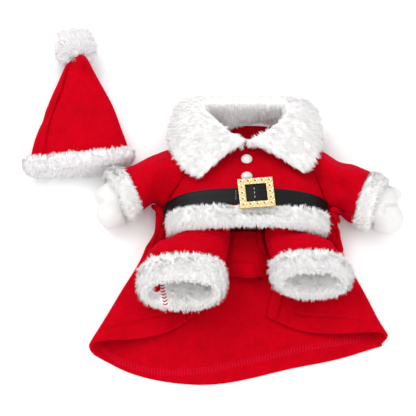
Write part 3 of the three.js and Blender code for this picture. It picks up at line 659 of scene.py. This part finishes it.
# Lines as the camera sees them, in millimetres across and up the picture from the coat's zero
SLEEVE_FOLDS = {
    "sleeve_left": (
        ([(-109, 39), (-96, 30), (-88, 17), (-84, 6)], 6, 2.4),
        ([(-104, 44), (-92, 37), (-82, 27)], 6, -1.6),
        ([(-118, 24), (-108, 14), (-98, 8)], 4.5, 2.0),
        ([(-95, 1), (-90, 0), (-87.6, -1)], 1.6, 1.0),
    ),
    "sleeve_right": (
        ([(93, 30), (104, 22), (112, 10)], 6, 2.4),
        ([(88, 27), (100, 33), (116, 36)], 7, -2.2),
        ([(74, 50), (77, 38), (80, 24)], 6, 2.0),
        ([(86, 2), (94, 6), (104, 5)], 6, -1.6),
        ([(91.6, -5), (97.2, -3), (105, -4), (112, -5.6)], 1.4, 2.4),
    ),
}
SLEEVE_DRAWS = {
    "left": (((-116.6, 44.8), 12, (0, -3, -0.5)), ((-98, 2), 8, (1, 1.5, 0))),
    "right": (((98.4, 49.9), 13, (0, -4, -1)), ((105.7, -10), 10, (0, -4.5, 0))),
}
CHEST_FOLDS = (
    ([(-72, 10), (-58, 21), (-40, 26), (-18, 27)], 7, 2.0),
    ([(-68, 2), (-52, 12), (-34, 15)], 6, -1.4),
    ([(-34, 40), (-30, 30), (-27, 22)], 5, 1.4),
    ([(62, 12), (50, 22), (36, 26)], 6, 1.9),
    ([(46, 40), (44, 30), (40, 22)], 5, 1.4),
    ([(70, 6), (56, 12), (40, 13)], 6, -1.2),
)
HAT_FOLDS = (
    ([(-181, 168), (-187.2, 147.3), (-192.4, 126.8), (-200.3, 106.3), (-206, 85.8), (-210.6, 56),
      (-212, 30)], 1.0, 2.8),
    ([(-180, 150), (-184, 130), (-192, 106), (-198, 84), (-203, 50)], 5.5, -1.6),
    ([(-200, 106), (-208.3, 96.1), (-214, 84)], 2.6, 1.2),
    ([(-160, 126), (-156, 100), (-160, 72)], 11, 1.0),
)
LEG_FOLDS = {
    "leg_left": (
        ([(-52, -19), (-44, -19.5), (-31, -21), (-20.7, -24.2), (-17, -31), (-16.4, -42),
          (-17.5, -54)], 1.1, 2.2),
        ([(-92, -20), (-80, -29), (-60, -31), (-40, -30)], 4, 1.8),
        ([(-98, -36), (-92, -47), (-76, -50), (-58, -50)], 2.4, 1.8),
        ([(-30, -60), (-27, -45), (-33, -34)], 5, 0.8),
    ),
    "leg_right": (
        ([(30, -28), (45, -24), (62, -23)], 4, 1.6),
        ([(82, -20), (88.8, -26), (92.7, -36), (98, -47)], 1.4, 2.2),
        ([(20, -22), (24.5, -34), (28.5, -50)], 1.3, 1.8),
        ([(48, -52), (52, -40), (50, -32)], 6, 0.8),
    ),
}
SKIRT_FOLDS = {
    "skirt_left": (
        ([(-147, -124.4), (-110.5, -116.2), (-89.8, -111), (-69.3, -106.7), (-58, -103)], 1.3, 0.7),
        ([(-62, -88), (-59.8, -106), (-60.4, -118.5), (-61, -126)], 1.2, 2.2),
        ([(-112, -62), (-118, -80), (-126, -96)], 7, 0.9),
        ([(-84, -84), (-92, -100), (-104, -112)], 8, -0.8),
    ),
    "skirt_right": (
        ([(42.5, -104), (60.7, -110.5), (86.8, -111.8), (113, -114.3), (134, -118)], 1.3, 0.7),
        ([(43, -68), (39.9, -90), (36.5, -103), (33.3, -114), (28, -130)], 1.2, 2.6),
        ([(36, -82), (34, -94), (30, -106), (28, -116)], 2.0, -0.8),
        ([(112, -70), (116, -86), (124, -100)], 7, 0.9),
    ),
}
BACK_FOLDS = (
    ([(-30, -96), (-20, -118), (-22, -140)], 12, 0.7),
    ([(20, -92), (14, -112), (22, -134)], 12, -0.7),
)
BACK_HEM_ROW = [(-147.6, -143.9), (-127.4, -157.4), (-98.2, -166.3), (-71.2, -168.6), (-37.4, -165.3),
                (7.6, -156.2), (52.6, -146), (97.5, -138.2), (120.1, -134.8)]
OVERLOCK = 5.2  # width of the back hem's double row, in the picture


def fold_all(piece, ways, folds):
    """The folds that are seen, and similar ones a little to one side on the side that isn't."""
    for line, width, depth in folds:
        crease(piece, ways, smooth_line(line, 24), width, depth)
        crease(piece, ways, smooth_line(line, 24) + (7, -5), 1.2 * width, 0.7 * depth, -1)


def sleeve_ways(piece, side):
    points = points_of(piece)
    low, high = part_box("sleeve_" + side)
    inner, outer = (high.x, low.x) if side == "left" else (low.x, high.x)
    return away_from(points, (inner, 0.03, 0.012), (outer, 0.004, 0.012), 2.5)


def make_fleece_piece(node, name, levels, rim=0.7):
    piece = from_solid(node, name, rim)
    subdivided(piece, levels)
    finished(piece, red_fleece, "fleece", node)
    return piece


def make_chest():
    chest = make_fleece_piece("chest_panel", "chest_fleece", 3)
    ways = away_from(points_of(chest), at(*CHEST_AXIS[0]), at(*CHEST_AXIS[1]))
    off_belt = ease(np.abs(own_millimetres(points_of(chest))[:, 1] - BELT_UP), 9, 15)
    fold_all(chest, ways * off_belt[:, None], CHEST_FOLDS)
    thinned(chest, 0.4)


def make_sleeves():
    for side in BOTH:
        node = "sleeve_" + side
        piece = make_fleece_piece(node, "sleeve_fleece_" + side, 3)
        for centre, reach, shift in SLEEVE_DRAWS[side]:
            draw(piece, centre, reach, shift)
        ways = sleeve_ways(piece, side)
        fold_all(piece, ways, SLEEVE_FOLDS[node])
        undulate(piece, ways, 26, 1.0, 3 + len(side))
        thinned(piece, 0.36)


def make_legs():
    for side in BOTH:
        node = "leg_" + side
        piece = make_fleece_piece(node, "leg_fleece_" + side, 3)
        low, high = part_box(node)
        middle = (low + high) / 2
        top, foot = (middle.x, high.y, middle.z - 0.006), (middle.x, low.y, middle.z + 0.004)
        ways = away_from(points_of(piece), top, foot, 2)
        fold_all(piece, ways, LEG_FOLDS[node])
        undulate(piece, ways, 22, 0.7, 9 + len(side))
        thinned(piece, 0.36)
        centre = np.array(middle)

        def lined(middles, facing):
            across = seen(middles)[:, 0]
            inner = (facing * unit((middles - centre) * (1, 0, 1))).sum(1) < 0
            bare = (side == "left") & (across > -78) & (across < -47)
            return inner & ~bare

        recoloured(piece, plush_backing, lined)
    belly = make_fleece_piece("belly_panel", "belly_fleece", 2)
    up = np.tile(UP, (len(points_of(belly)), 1))
    draw(belly, (4, -54), 17, (0, -11, 0))
    crease(belly, up, [(-8, -30), (-4, -45), (-6, -60)], 7, 1.2)
    crease(belly, up, [(-18, -56), (-4, -60), (10, -60), (22, -54)], 3, -1.4)
    crease(belly, up, [(11, -14), (12.6, -28), (17, -42), (23, -52)], 1.3, 1.4)
    crease(belly, up, [(15.5, -14), (17, -28), (21, -42), (26, -50)], 2.6, -1.6)


def make_skirt():
    back = make_fleece_piece("back_panel", "back_fleece", 2)
    up = np.tile(UP, (len(points_of(back)), 1))
    draw(back, (-155, -153), 13, (-5, 2, 0))
    draw(back, (141, -138), 12, (4.5, 0.5, 0))
    free = ease(-own_millimetres(points_of(back))[:, 1], 100, 130)
    fold_all(back, up * free[:, None], BACK_FOLDS)
    threads = []
    surface = surface_of(back)
    row = smooth_line(BACK_HEM_ROW, 120)
    for aside in (-0.5, 0.5):
        threads += stitch_row(surface, row + [0, aside * OVERLOCK], 3.1, 2.3)
    for lean in (-1, 1):
        threads += stitch_row(surface, row, 3.1, 1.5, (-lean * 0.42 * OVERLOCK, lean * 0.42 * OVERLOCK))
    finished(make_threads("back_hem_stitches", threads, 0.62), hem_thread, "fleece")
    for side in BOTH:
        node = "skirt_" + side
        flap = make_fleece_piece(node, "skirt_fleece_" + side, 3)
        if side == "left":
            draw(flap, (-159, -149), 8, (-0.5, -5.5, 0))
        ways = np.tile(UP, (len(points_of(flap)), 1))
        over = ease(points_of(flap)[:, 2], 1.4 * MM, 2.4 * MM)
        fold_all(flap, ways * over[:, None], SKIRT_FOLDS[node])
        thinned(flap, 0.42)
        rows = smooth_line(SKIRT_FOLDS[node][0][0], 80)
        sewn = stitch_row(surface_of(flap), rows, 3.0, 2.1)
        finished(make_threads("flap_stitches_" + side, sewn, 0.5, 0.2), seam_thread, "fleece")


def make_gathers():
    for side in BOTH:
        node = "waist_gather_" + side
        roll = make_fleece_piece(node, "waist_fleece_" + side, 2, 0.0)
        for centre, reach, shift in GATHER_DRAWS[side]:
            draw(roll, centre, reach, shift)
        ways = normals_of(roll)
        for line in GATHER_FOLDS[side]:
            crease(roll, ways, smooth_line(line, 20), 1.2, 1.5)
        knot = [make_roll(line, wide) for line, wide in KNOT_ROLLS[side]]
        alone(knot[0], *knot[1:])
        bpy.ops.object.join()
        knot = bpy.context.object
        knot.name = "underarm_gather_" + side
        finished(knot, red_fleece, "fleece")


GATHER_DRAWS = {
    "left": (((-103, -42), 12, (-5, -3, 0)), ((-88, -10), 9, (1.5, 6, 2))),
    "right": (((97, -11), 9, (-4.5, -8, 0)), ((102, -40), 9, (3, -5, 0))),
}
GATHER_FOLDS = {
    "left": ([(-92, 0), (-93, -14), (-98, -40)], [(-88, -4), (-89, -20), (-94, -42)]),
    "right": ([(93, -16), (94, -24), (97, -36)], [(98, -18), (100, -26), (103, -36)]),
}
KNOT_ROLLS = {
    "left": (
        (((-97, 2, 10), (-91, -1, 14), (-86, -6, 15), (-83, -12, 14)), 3.8),
        (((-91, -3, 9), (-88.5, -12, 12), (-89.5, -24, 11), (-95, -38, 8)), 5.0),
        (((-84, -9, 10), (-84.5, -20, 10), (-87, -30, 9), (-90, -38, 8)), 4.2),
    ),
    "right": (
        (((88.5, -4.5, 27), (93, -2, 29), (99, -3, 29), (104, -8, 26)), 4.2),
        (((88.5, -8, 24), (93, -7.5, 27), (97, -11, 26), (98.5, -15, 23)), 4.2),
        (((88.5, -12.5, 21), (92, -12.5, 23), (95, -15.5, 21), (95.5, -20, 18)), 4.4),
        (((88, -16, 12), (89.5, -25, 12), (93, -35, 10), (98, -44, 8)), 4.6),
    ),
}


def make_roll(line, wide):
    """A small roll of gathered cloth: a disc pulled out along a line, thin at both ends. Each place on the
    line is across and up the picture, and its height."""
    flat, steep = math.cos(CAMERA_RISE), math.sin(CAMERA_RISE)
    line = np.array([(x, (up - z * flat) / steep, z) for x, up, z in line])
    spine = np.concatenate([smooth_line(line[:, :2], 9), smooth_line(line[:, 1:], 9)[:, 1:]], axis=1)
    turn = Vector(spine[1] - spine[0]).to_track_quat("Z", "Y").to_euler()
    before = 0.35
    roll = disc_to_pull(10, before * wide * MM, at(*spine[0]), turn)
    for k in range(1, len(spine)):
        step = Vector(spine[k] - spine[k - 1]) * MM
        now = max(0.35, math.sqrt(math.sin(math.pi * k / (len(spine) - 1)) + 0.02))
        bpy.ops.mesh.extrude_region_move(TRANSFORM_OT_translate={"value": step})
        bpy.ops.transform.resize(value=(now / before,) * 3, center_override=at(*spine[k]))
        before = now
    bpy.ops.object.mode_set(mode="OBJECT")
    faced_out(roll)
    subdivided(roll, 1)
    return roll


def make_hat():
    hat = make_fleece_piece("hat_cone", "hat_fleece", 3, 0.5)
    draw(hat, (-216, 89), 20, (2.5, 0, 0))
    draw(hat, (-125, 66), 14, (2.5, 0, 0))
    draw(hat, (-171, 157), 9, (0.5, -5, 13))
    ways = away_from(points_of(hat), at(-174, 40, 9), at(-170, 180, 18), 9)
    fold_all(hat, ways, HAT_FOLDS)
    undulate(hat, ways, 40, 0.8, 5)
    thinned(hat, 0.4)


# Plush trim

STRAND = 0.6  # width of a tuft's strand at its root


def parted(way, drop=(0, 0, 0)):
    """Pile that lies from the middle of a trim to each of its two edges, and falls a little."""
    way = unit(np.array(way, float))
    return lambda points, normals: np.clip(1.6 * normals @ way, -1, 1)[:, None] * way + np.array(drop)


def less_below(points, normals):
    """Fewer strands where the plush faces the surface it lies on."""
    return np.where(normals[:, 2] < -0.3, 0.35, 1.0)


def make_trim(finish, name, node, slot, held, count, length, flow, rise, seed, take_in, draws=(),
              fill=(0, 0, 0), **more):
    """A plush piece on its solid: a backing, taken in to leave room for the pile that covers it."""
    base = from_solid(node, name + "_backing")
    subdivided(base, 2)
    low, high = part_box(node)
    shrink(base, take_in, (low + high) / 2, fill)
    for centre, reach, shift in draws:
        draw(base, centre, reach, shift)
    undulate(base, normals_of(base), 7, 0.5, seed)
    finished(base, plush_backing, slot, node)
    pile = make_pile(name + "_pile", base, count, length, STRAND, flow, rise, seed, **more)
    finished(pile, finish, slot)
    return base


def collar_flow(points, normals):
    """Pile that falls outward over the collar's leaves, and down the inside of its stand."""
    out = points - np.array(at(3, 62))
    out[:, 2] = 0
    out = unit(out)
    inside = ease(-(normals * out).sum(1), 0.1, 0.5)[:, None]
    return (out + (0, -0.3, -0.3)) * (1 - inside) + np.array((0.3, -0.5, -1.0)) * inside


SLEEVE_CUFF_DRAWS = {
    "left": (((-146, 31), 14, (-3, 3, 0)), ((-118, -14), 12, (3.5, -4, 0))),
    "right": (((118, -24), 12, (-2, -4, 0)),),
}
COLLAR_DRAWS = (
    ((-66, 110), 17, (-3, 5, 0)),
    ((71, 112), 16, (3, 4, 0)),
    ((-17, 87), 9, (4, -8, 1)),
    ((2, 88), 9, (0, -3, 1)),
    ((-8, 70), 7, (6, -1, 1)),
    ((9.5, 67), 7, (-5.5, 1, 1)),
)
CUFF_SEAM = [(-85.3, -78), (-84.5, -84), (-82.5, -93), (-81, -101)]
LOOSE_THREAD = [(78.5, -78.5), (75.5, -80), (74.5, -83), (76, -86.5)]


def red_spot(middles, ways):
    """The place inside the left cuff where the red cloth shows past the plush."""
    far = np.linalg.norm((seen(middles) - (-91, -81)) / (4.6, 5.2), axis=1)
    return (far < 1) & (ways @ TO_CAMERA > 0) & (middles[:, 2] < 0.042)


def make_plush():
    make_trim(white_pile, "collar", "collar", "plush", "folded", 40000, 5.6, collar_flow, 0.26, 11, 1.6,
              draws=COLLAR_DRAWS)
    for k, side in enumerate(BOTH):
        out = -1 if side == "left" else 1

        def clear_of_seam(middles, ways):
            far, _ = line_distance(seen(middles), np.array(CUFF_SEAM))
            hidden = (far < 3.8) | red_spot(middles, ways)
            return np.where(hidden & (ways @ TO_CAMERA > 0) & (side == "left"), 0.02, 1.0)

        cuff = make_trim(white_pile, "leg_cuff_" + side, "leg_cuff_" + side, "plush",
                         "gathered", 19500, 5.6, parted((0, 1, 0), (0, -0.8, -0.2)), 0.38, 21 + k,
                         ((5.5, 2.5, 3.5), (4.0, 3.0, 4.0))[k], fill=((7.5, 0, 8), (6.5, 0, 7))[k],
                         keep=clear_of_seam)
        if side == "left":
            recoloured(cuff, red_fleece, red_spot)
            surface = surface_of(cuff)
            line = smooth_line(CUFF_SEAM, 30)
            rows = (("red", cuff_thread, 0, 1.4), ("white", light_thread, 1.6, 0.8))
            for name, thread, offset, thick in rows:
                sewn = stitch_row(surface, line + [0, offset], 3.2, 1.8, (-2.8, 0.3))
                sewn += stitch_row(surface, line + [0, offset], 3.2, 1.8, (2.8, -0.3))
                finished(make_threads("cuff_overlock_" + name, sewn, thick, 0.6), thread, "plush")
        else:
            ends = stitch_row(surface_of(cuff), smooth_line(LOOSE_THREAD, 12), 1.6, 1.9)
            finished(make_threads("cuff_loose_thread", ends, 0.6, 0.5), cuff_thread, "plush")
        make_trim(white_pile, "sleeve_cuff_" + side, "sleeve_cuff_" + side, "plush",
                  "gathered", 10000, 5.0, parted((out, 0.25 * out, 0), (0, -0.4, 0)), 0.34, 31 + k, 0.8,
                  draws=SLEEVE_CUFF_DRAWS[side])
    make_trim(white_pile, "hem_band", "hem_band", "plush", "laid", 17000, 5.4,
              parted((0, 1, 0), (0, -0.9, -0.2)), 0.3, 41, 1.5)


def make_hat_plush():
    brim = from_solid("hat_brim", "hat_brim_roll")
    pressed_together(brim, 3.5)
    for centre, aside in (((-229, 43), -2), ((-119.5, 52), 2)):
        draw(brim, centre, 13, (aside, 4, 2))
    shrink(brim, 0.9)
    smoothed(brim)
    finished(brim, plush_backing, "hat_plush", "hat_brim")
    pile = make_pile("hat_brim_pile", brim, 14000, 4.4, STRAND, parted((0, 1, 0), (0, -0.8, 0)), 0.28, 51,
                     keep=less_below)
    finished(pile, hat_pile, "hat_plush")
    core = from_solid("hat_pompom", "pompom_core")
    modify(core, "REMESH", mode="VOXEL", voxel_size=2.5 * MM)
    modify(core, "SMOOTH", factor=0.5, iterations=12)
    shrink(core, -2.6)
    move_points(core, points_of(core) + np.array((0.5, -2.5, 0)) * MM)
    smoothed(core)
    finished(core, plush_backing, "hat_plush", "hat_pompom")
    tied = np.array(at(-171, 165.5, 25))

    def apart(middles, ways):
        return np.where(np.linalg.norm(middles - tied, axis=1) < 7 * MM, 0.0, 1.0)

    def from_tie(points, normals):
        return unit(points - tied) + (0.25, 0, -0.5)

    fluff = make_pile("pompom_fluff", core, 15000, 8, 0.7, from_tie, 0.34, 61, apart, gather=0.42, stray=0.11,
                      tuft=9, lean=0.14)
    finished(fluff, hat_pile, "hat_plush")


# Mittens

def stuffed(piece, swell):
    """Fills a closed skin out with cloth simulation. No point moves further than swell, in millimetres."""
    before = points_of(piece)
    alone(piece)
    bpy.ops.object.modifier_add(type="CLOTH")
    cloth = piece.modifiers[-1]
    cloth.settings.use_pressure = True
    cloth.settings.uniform_pressure_force = 4
    cloth.settings.effector_weights.gravity = 0
    cloth.settings.quality = 5
    scene = bpy.context.scene
    for number in range(1, 21):
        scene.frame_set(number)
    bpy.ops.object.modifier_apply(modifier=cloth.name)
    scene.frame_set(1)
    moved = points_of(piece) - before
    far = np.linalg.norm(moved, axis=1, keepdims=True)
    move_points(piece, above_floor(before + moved * np.minimum(1, swell * MM / np.maximum(far, 1e-9))))


THUMB_SEAMS = {
    "left": (([(-162, 3), (-156, 4.6), (-150, 6.4), (-144, 7.4)], 2.8, 2.4),),
    "right": (
        ([(166, 5), (161.4, 4.9), (153, 3.5), (146.3, 2), (143, -4), (141, -9)], 2.2, 3.0),
        ([(150, -10), (156, -14), (160, -20)], 4, 1.2),
    ),
}


def make_mittens():
    for side in BOTH:
        node = "mitten_" + side
        mitten = from_solid(node, "mitten_velour_" + side)
        modify(mitten, "REMESH", mode="VOXEL", voxel_size=2.4 * MM)
        modify(mitten, "SMOOTH", factor=0.5, iterations=6)
        stuffed(mitten, 1.2)
        subdivided(mitten, 1)
        for line, width, depth in THUMB_SEAMS[side]:
            crease(mitten, normals_of(mitten), smooth_line(line, 20), width, depth)
        finished(mitten, velour, "mitten", node)


# Belt, buckle and buttons

BUCKLE_SIZE, BUCKLE_BAR, BUCKLE_THICK = 36.5, 7.3, 3.6
BUCKLE_TURN, BUCKLE_LEAN = 0.09, -0.085


def buckle_place():
    low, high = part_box("buckle")
    turned = Matrix.Rotation(BUCKLE_LEAN, 4, "X") @ Matrix.Rotation(BUCKLE_TURN, 4, "Z")
    return Matrix.Translation((low + high) / 2) @ turned


def pulled_up(rings, sides, x, y, turn=0.0):
    """A small round stud, pulled up from a disc ring by ring. Each ring is its radius and height."""
    place = (x * MM, y * MM, rings[0][1] * MM)
    stud = disc_to_pull(sides, rings[0][0] * MM, place, (0, 0, turn))
    for (r0, z0), (r1, z1) in zip(rings[:-1], rings[1:]):
        bpy.ops.mesh.extrude_region_move(TRANSFORM_OT_translate={"value": (0, 0, (z1 - z0) * MM)})
        bpy.ops.transform.resize(value=(r1 / r0, r1 / r0, 1), center_override=(x * MM, y * MM, z1 * MM))
    bpy.ops.object.mode_set(mode="OBJECT")
    faced_out(stud)
    return stud


def make_buckle():
    bpy.ops.object.select_all(action="DESELECT")
    bpy.ops.mesh.primitive_plane_add(size=BUCKLE_SIZE * MM, location=(0, 0, -0.5 * BUCKLE_THICK * MM))
    bar = bpy.context.object
    bar.name = "buckle_frame"
    bpy.ops.object.transform_apply(location=True, rotation=True, scale=True)
    bpy.ops.object.mode_set(mode="EDIT")
    bpy.ops.mesh.select_all(action="SELECT")
    bpy.ops.mesh.inset(thickness=BUCKLE_BAR * MM)
    bpy.ops.mesh.delete(type="FACE")
    bpy.ops.object.mode_set(mode="OBJECT")
    modify(bar, "SOLIDIFY", thickness=(BUCKLE_THICK - 0.9) * MM, offset=1)
    modify(bar, "BEVEL", width=0.4 * MM, segments=3, limit_method="ANGLE")
    top = 0.5 * BUCKLE_THICK - 0.9
    cell = (BUCKLE_SIZE - BUCKLE_BAR) / 4
    spots = [(i, j) for i in range(-2, 3) for j in range(-2, 3) if max(abs(i), abs(j)) == 2]
    dish = ((2.75, -0.2), (2.6, 0.5), (1.9, 0.9), (1.35, 0.75), (0.8, 0.1))
    dish = [(radius, top + height) for radius, height in dish]
    cups = [pulled_up(dish, 8, i * cell, j * cell, math.pi / 8) for i, j in spots]
    edges = [(i + 0.5, j) for i in range(-2, 2) for j in (-2.36, -1.64, 1.64, 2.36)]
    edges += [(j, i) for i, j in edges]
    edges = [(i, j) for i, j in edges if not (abs(i) < 1.7 and abs(j) < 1.6)]
    peak = [(radius, top + height) for radius, height in ((1.15, -0.2), (0.95, 0.35), (0.25, 0.8))]
    points = [pulled_up(peak, 4, i * cell, j * cell, math.pi / 4) for i, j in edges]
    alone(cups[0], *cups[1:], *points)
    bpy.ops.object.join()
    studs = bpy.context.object
    studs.name = "buckle_studs"
    for piece in (bar, studs):
        piece.data.transform(buckle_place())
        piece.data.update()
    finished(bar, gold, "buckle", "buckle")
    # The studs' paler gold stands in for painted highlight on their facets.
    finished(studs, gold_with_painted_glint, "buckle")
    studs.data.materials.append(amber)
    inward = np.linalg.inv(np.array(buckle_place()))
    for face in studs.data.polygons:
        local = inward[:3, :3] @ np.array(face.center) + inward[:3, 3]
        deep = abs(local[2] / MM - (top + 0.1)) < 0.25 and len(face.vertices) == 8
        slope = len(face.vertices) == 4 and top + 0.25 < local[2] / MM < top + 0.55
        near = np.hypot(*(local[:2] / MM - cell * np.round(local[:2] / MM / cell)))
        face.material_index = 1 if (deep or slope) and near < 1.25 else 0


def make_belt():
    belt = from_solid("belt", "belt_leather", 0.5)
    subdivided(belt, 3)
    finished(belt, leather, "strap", "belt")
    points = points_of(belt)
    ways = away_from(points, at(*CHEST_AXIS[0]), at(*CHEST_AXIS[1]))
    aside = own_millimetres(points)[:, 1] - BELT_UP
    roll = 0.45 * np.exp(-((np.abs(aside) - 7.4) / 1.3) ** 2)
    grooves = sum(-0.6 * np.exp(-((aside - row) / 0.8) ** 2) for row in BELT_ROWS)
    outer = ease(normals_of(belt) @ TO_CAMERA, -0.2, 0.3)
    move_points(belt, points + ways * ((roll + grooves) * outer * MM)[:, None])
    surface = surface_of(belt)
    stitches = []
    for row in BELT_ROWS:
        for x0, x1 in ((-80, -8.5), (32.5, 82)):
            places = [
                (x, (row + BELT_UP) * math.sin(CAMERA_RISE) + height_of_belt(surface, x, row) * 0.5)
                for x in np.linspace(x0, x1, 40)
            ]
            stitches += stitch_row(surface, places, 2.6, 1.7)
    finished(make_threads("belt_stitches", stitches, 0.8, 0.45), black_thread, "strap")
    upright = [(-9.2, y) for y in np.linspace(8.6, 19, 12)]
    end = make_threads("belt_end_stitches", stitch_row(surface, upright, 2.6, 1.7), 0.45, 0.3)
    finished(end, grey_thread, "strap")


def height_of_belt(surface, x, row):
    place, _, _, _ = surface.ray_cast(at(x, row + BELT_UP, 90), Vector((0, 0, -1)))
    return place.z / MM if place else 0


def make_keeper():
    """The strap's turned end, which fills the buckle's window and is stitched upright beside its roll."""
    inside = BUCKLE_SIZE - 2 * BUCKLE_BAR
    bpy.ops.object.select_all(action="DESELECT")
    bpy.ops.mesh.primitive_grid_add(x_subdivisions=40, y_subdivisions=24, size=1, location=(0, 0, 0))
    strap = bpy.context.object
    strap.name = "belt_keeper"
    points = points_of(strap)
    x, y = points[:, 0] * (inside + 0.8), points[:, 1] * (inside + 0.6)
    roll = 1.15 * np.exp(-((x + 3.2) / 2.1) ** 2) - 0.5 * np.exp(-((x + 0.4) / 0.6) ** 2)
    bow = 0.7 * (1 - (2 * x / inside) ** 2)
    level = -0.5 * BUCKLE_THICK + 0.3 + roll + bow + 0.12 * np.sin(y * 0.9) * (x > 0)
    move_points(strap, np.stack([x, y, level], axis=1) * MM)
    modify(strap, "SOLIDIFY", thickness=0.9 * MM, offset=-1)
    smoothed(strap)
    strap.data.transform(buckle_place())
    finished(strap, leather, "strap")
    surface = surface_of(strap)
    middle = buckle_place() @ Vector((-2.0 * MM, 0, 0))
    across, up = seen(np.array([middle]))[0]
    line = [(across - 0.09 * y, up + y) for y in np.linspace(-6, 5, 12)]
    row = make_threads("keeper_stitches", stitch_row(surface, line, 4.2, 2.7), 0.75, 0.4)
    finished(row, grey_thread, "strap")


def make_buttons():
    for node in ("button_upper", "button_lower"):
        low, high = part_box(node)
        button = from_solid(node, node + "_pearl")
        subdivided(button, 2)
        points = points_of(button)
        middle = np.array((low + high) / 2)
        far = np.linalg.norm(points[:, :2] - middle[:2], axis=1) / MM
        top = normals_of(button) @ TO_CAMERA > 0.2
        points[:, 2] -= 0.35 * MM * np.exp(-((far - 4.6) / 0.5) ** 2) * top
        move_points(button, points)
        finished(button, pearl, "button", node)


make_studio()
make_floor()
make_camera()

nap = make_nap_group()
red_fleece = make_fleece("red fleece", (0.36, 0.0, 0.004), (0.54, 0.0, 0.008), nap)
plush_backing = make_fleece("plush backing", (0.86, 0.845, 0.84), (0.93, 0.925, 0.92), nap, 0.2, WHITE, 0.08)
white_pile = make_pile_finish("white pile", (0.88, 0.865, 0.86), (0.96, 0.955, 0.95), nap)
hat_pile = make_pile_finish("hat pile", (0.88, 0.84, 0.86), (0.97, 0.95, 0.96), nap)
velour = make_fleece("mitten velour", (0.66, 0.65, 0.64), (0.74, 0.735, 0.73), nap, 0.1, WHITE, 0.15, 0.1)
leather = make_leather()
gold = make_plating("pale gold plating", (0.6, 0.43, 0.17), (0.78, 0.62, 0.32), 0.25)
# The studs' paler gold is partly painted highlight: it stands in for the white glints on their facets. Their
# lower roughness gives real reflection too.
gold_with_painted_glint = make_plating("stud plating with painted glint", (0.82, 0.69, 0.4), (0.97, 0.9, 0.7), 0.12)
amber = make_plating("amber dish", (0.3, 0.15, 0.02), (0.5, 0.3, 0.07), 0.3)
pearl = make_plain("pearl button", (0.62, 0.6, 0.58), (0.72, 0.7, 0.68), 120, 0.3, Coat_Weight=0.4)
hem_thread = make_plain("hem thread", (0.52, 0.0, 0.02), (0.66, 0.01, 0.045), 900, 0.6, 0.05)
seam_thread = make_plain("seam thread", (0.2, 0.0, 0.003), (0.3, 0.0, 0.006), 900, 0.7, 0.05)
cuff_thread = make_plain("cuff thread", (0.34, 0.0, 0.008), (0.5, 0.004, 0.02), 900, 0.6, 0.05)
light_thread = make_plain("light thread", (0.85, 0.82, 0.82), (0.93, 0.91, 0.91), 900, 0.6, 0.1)
black_thread = make_plain("black thread", (0.003, 0.003, 0.003), (0.01, 0.01, 0.011), 900, 0.55, 0.3)
grey_thread = make_plain("grey thread", (0.45, 0.46, 0.47), (0.62, 0.63, 0.64), 900, 0.6)

make_chest()
make_sleeves()
make_legs()
make_skirt()
make_gathers()
make_hat()
make_plush()
make_hat_plush()
make_mittens()
make_buckle()
make_belt()
make_keeper()
make_buttons()
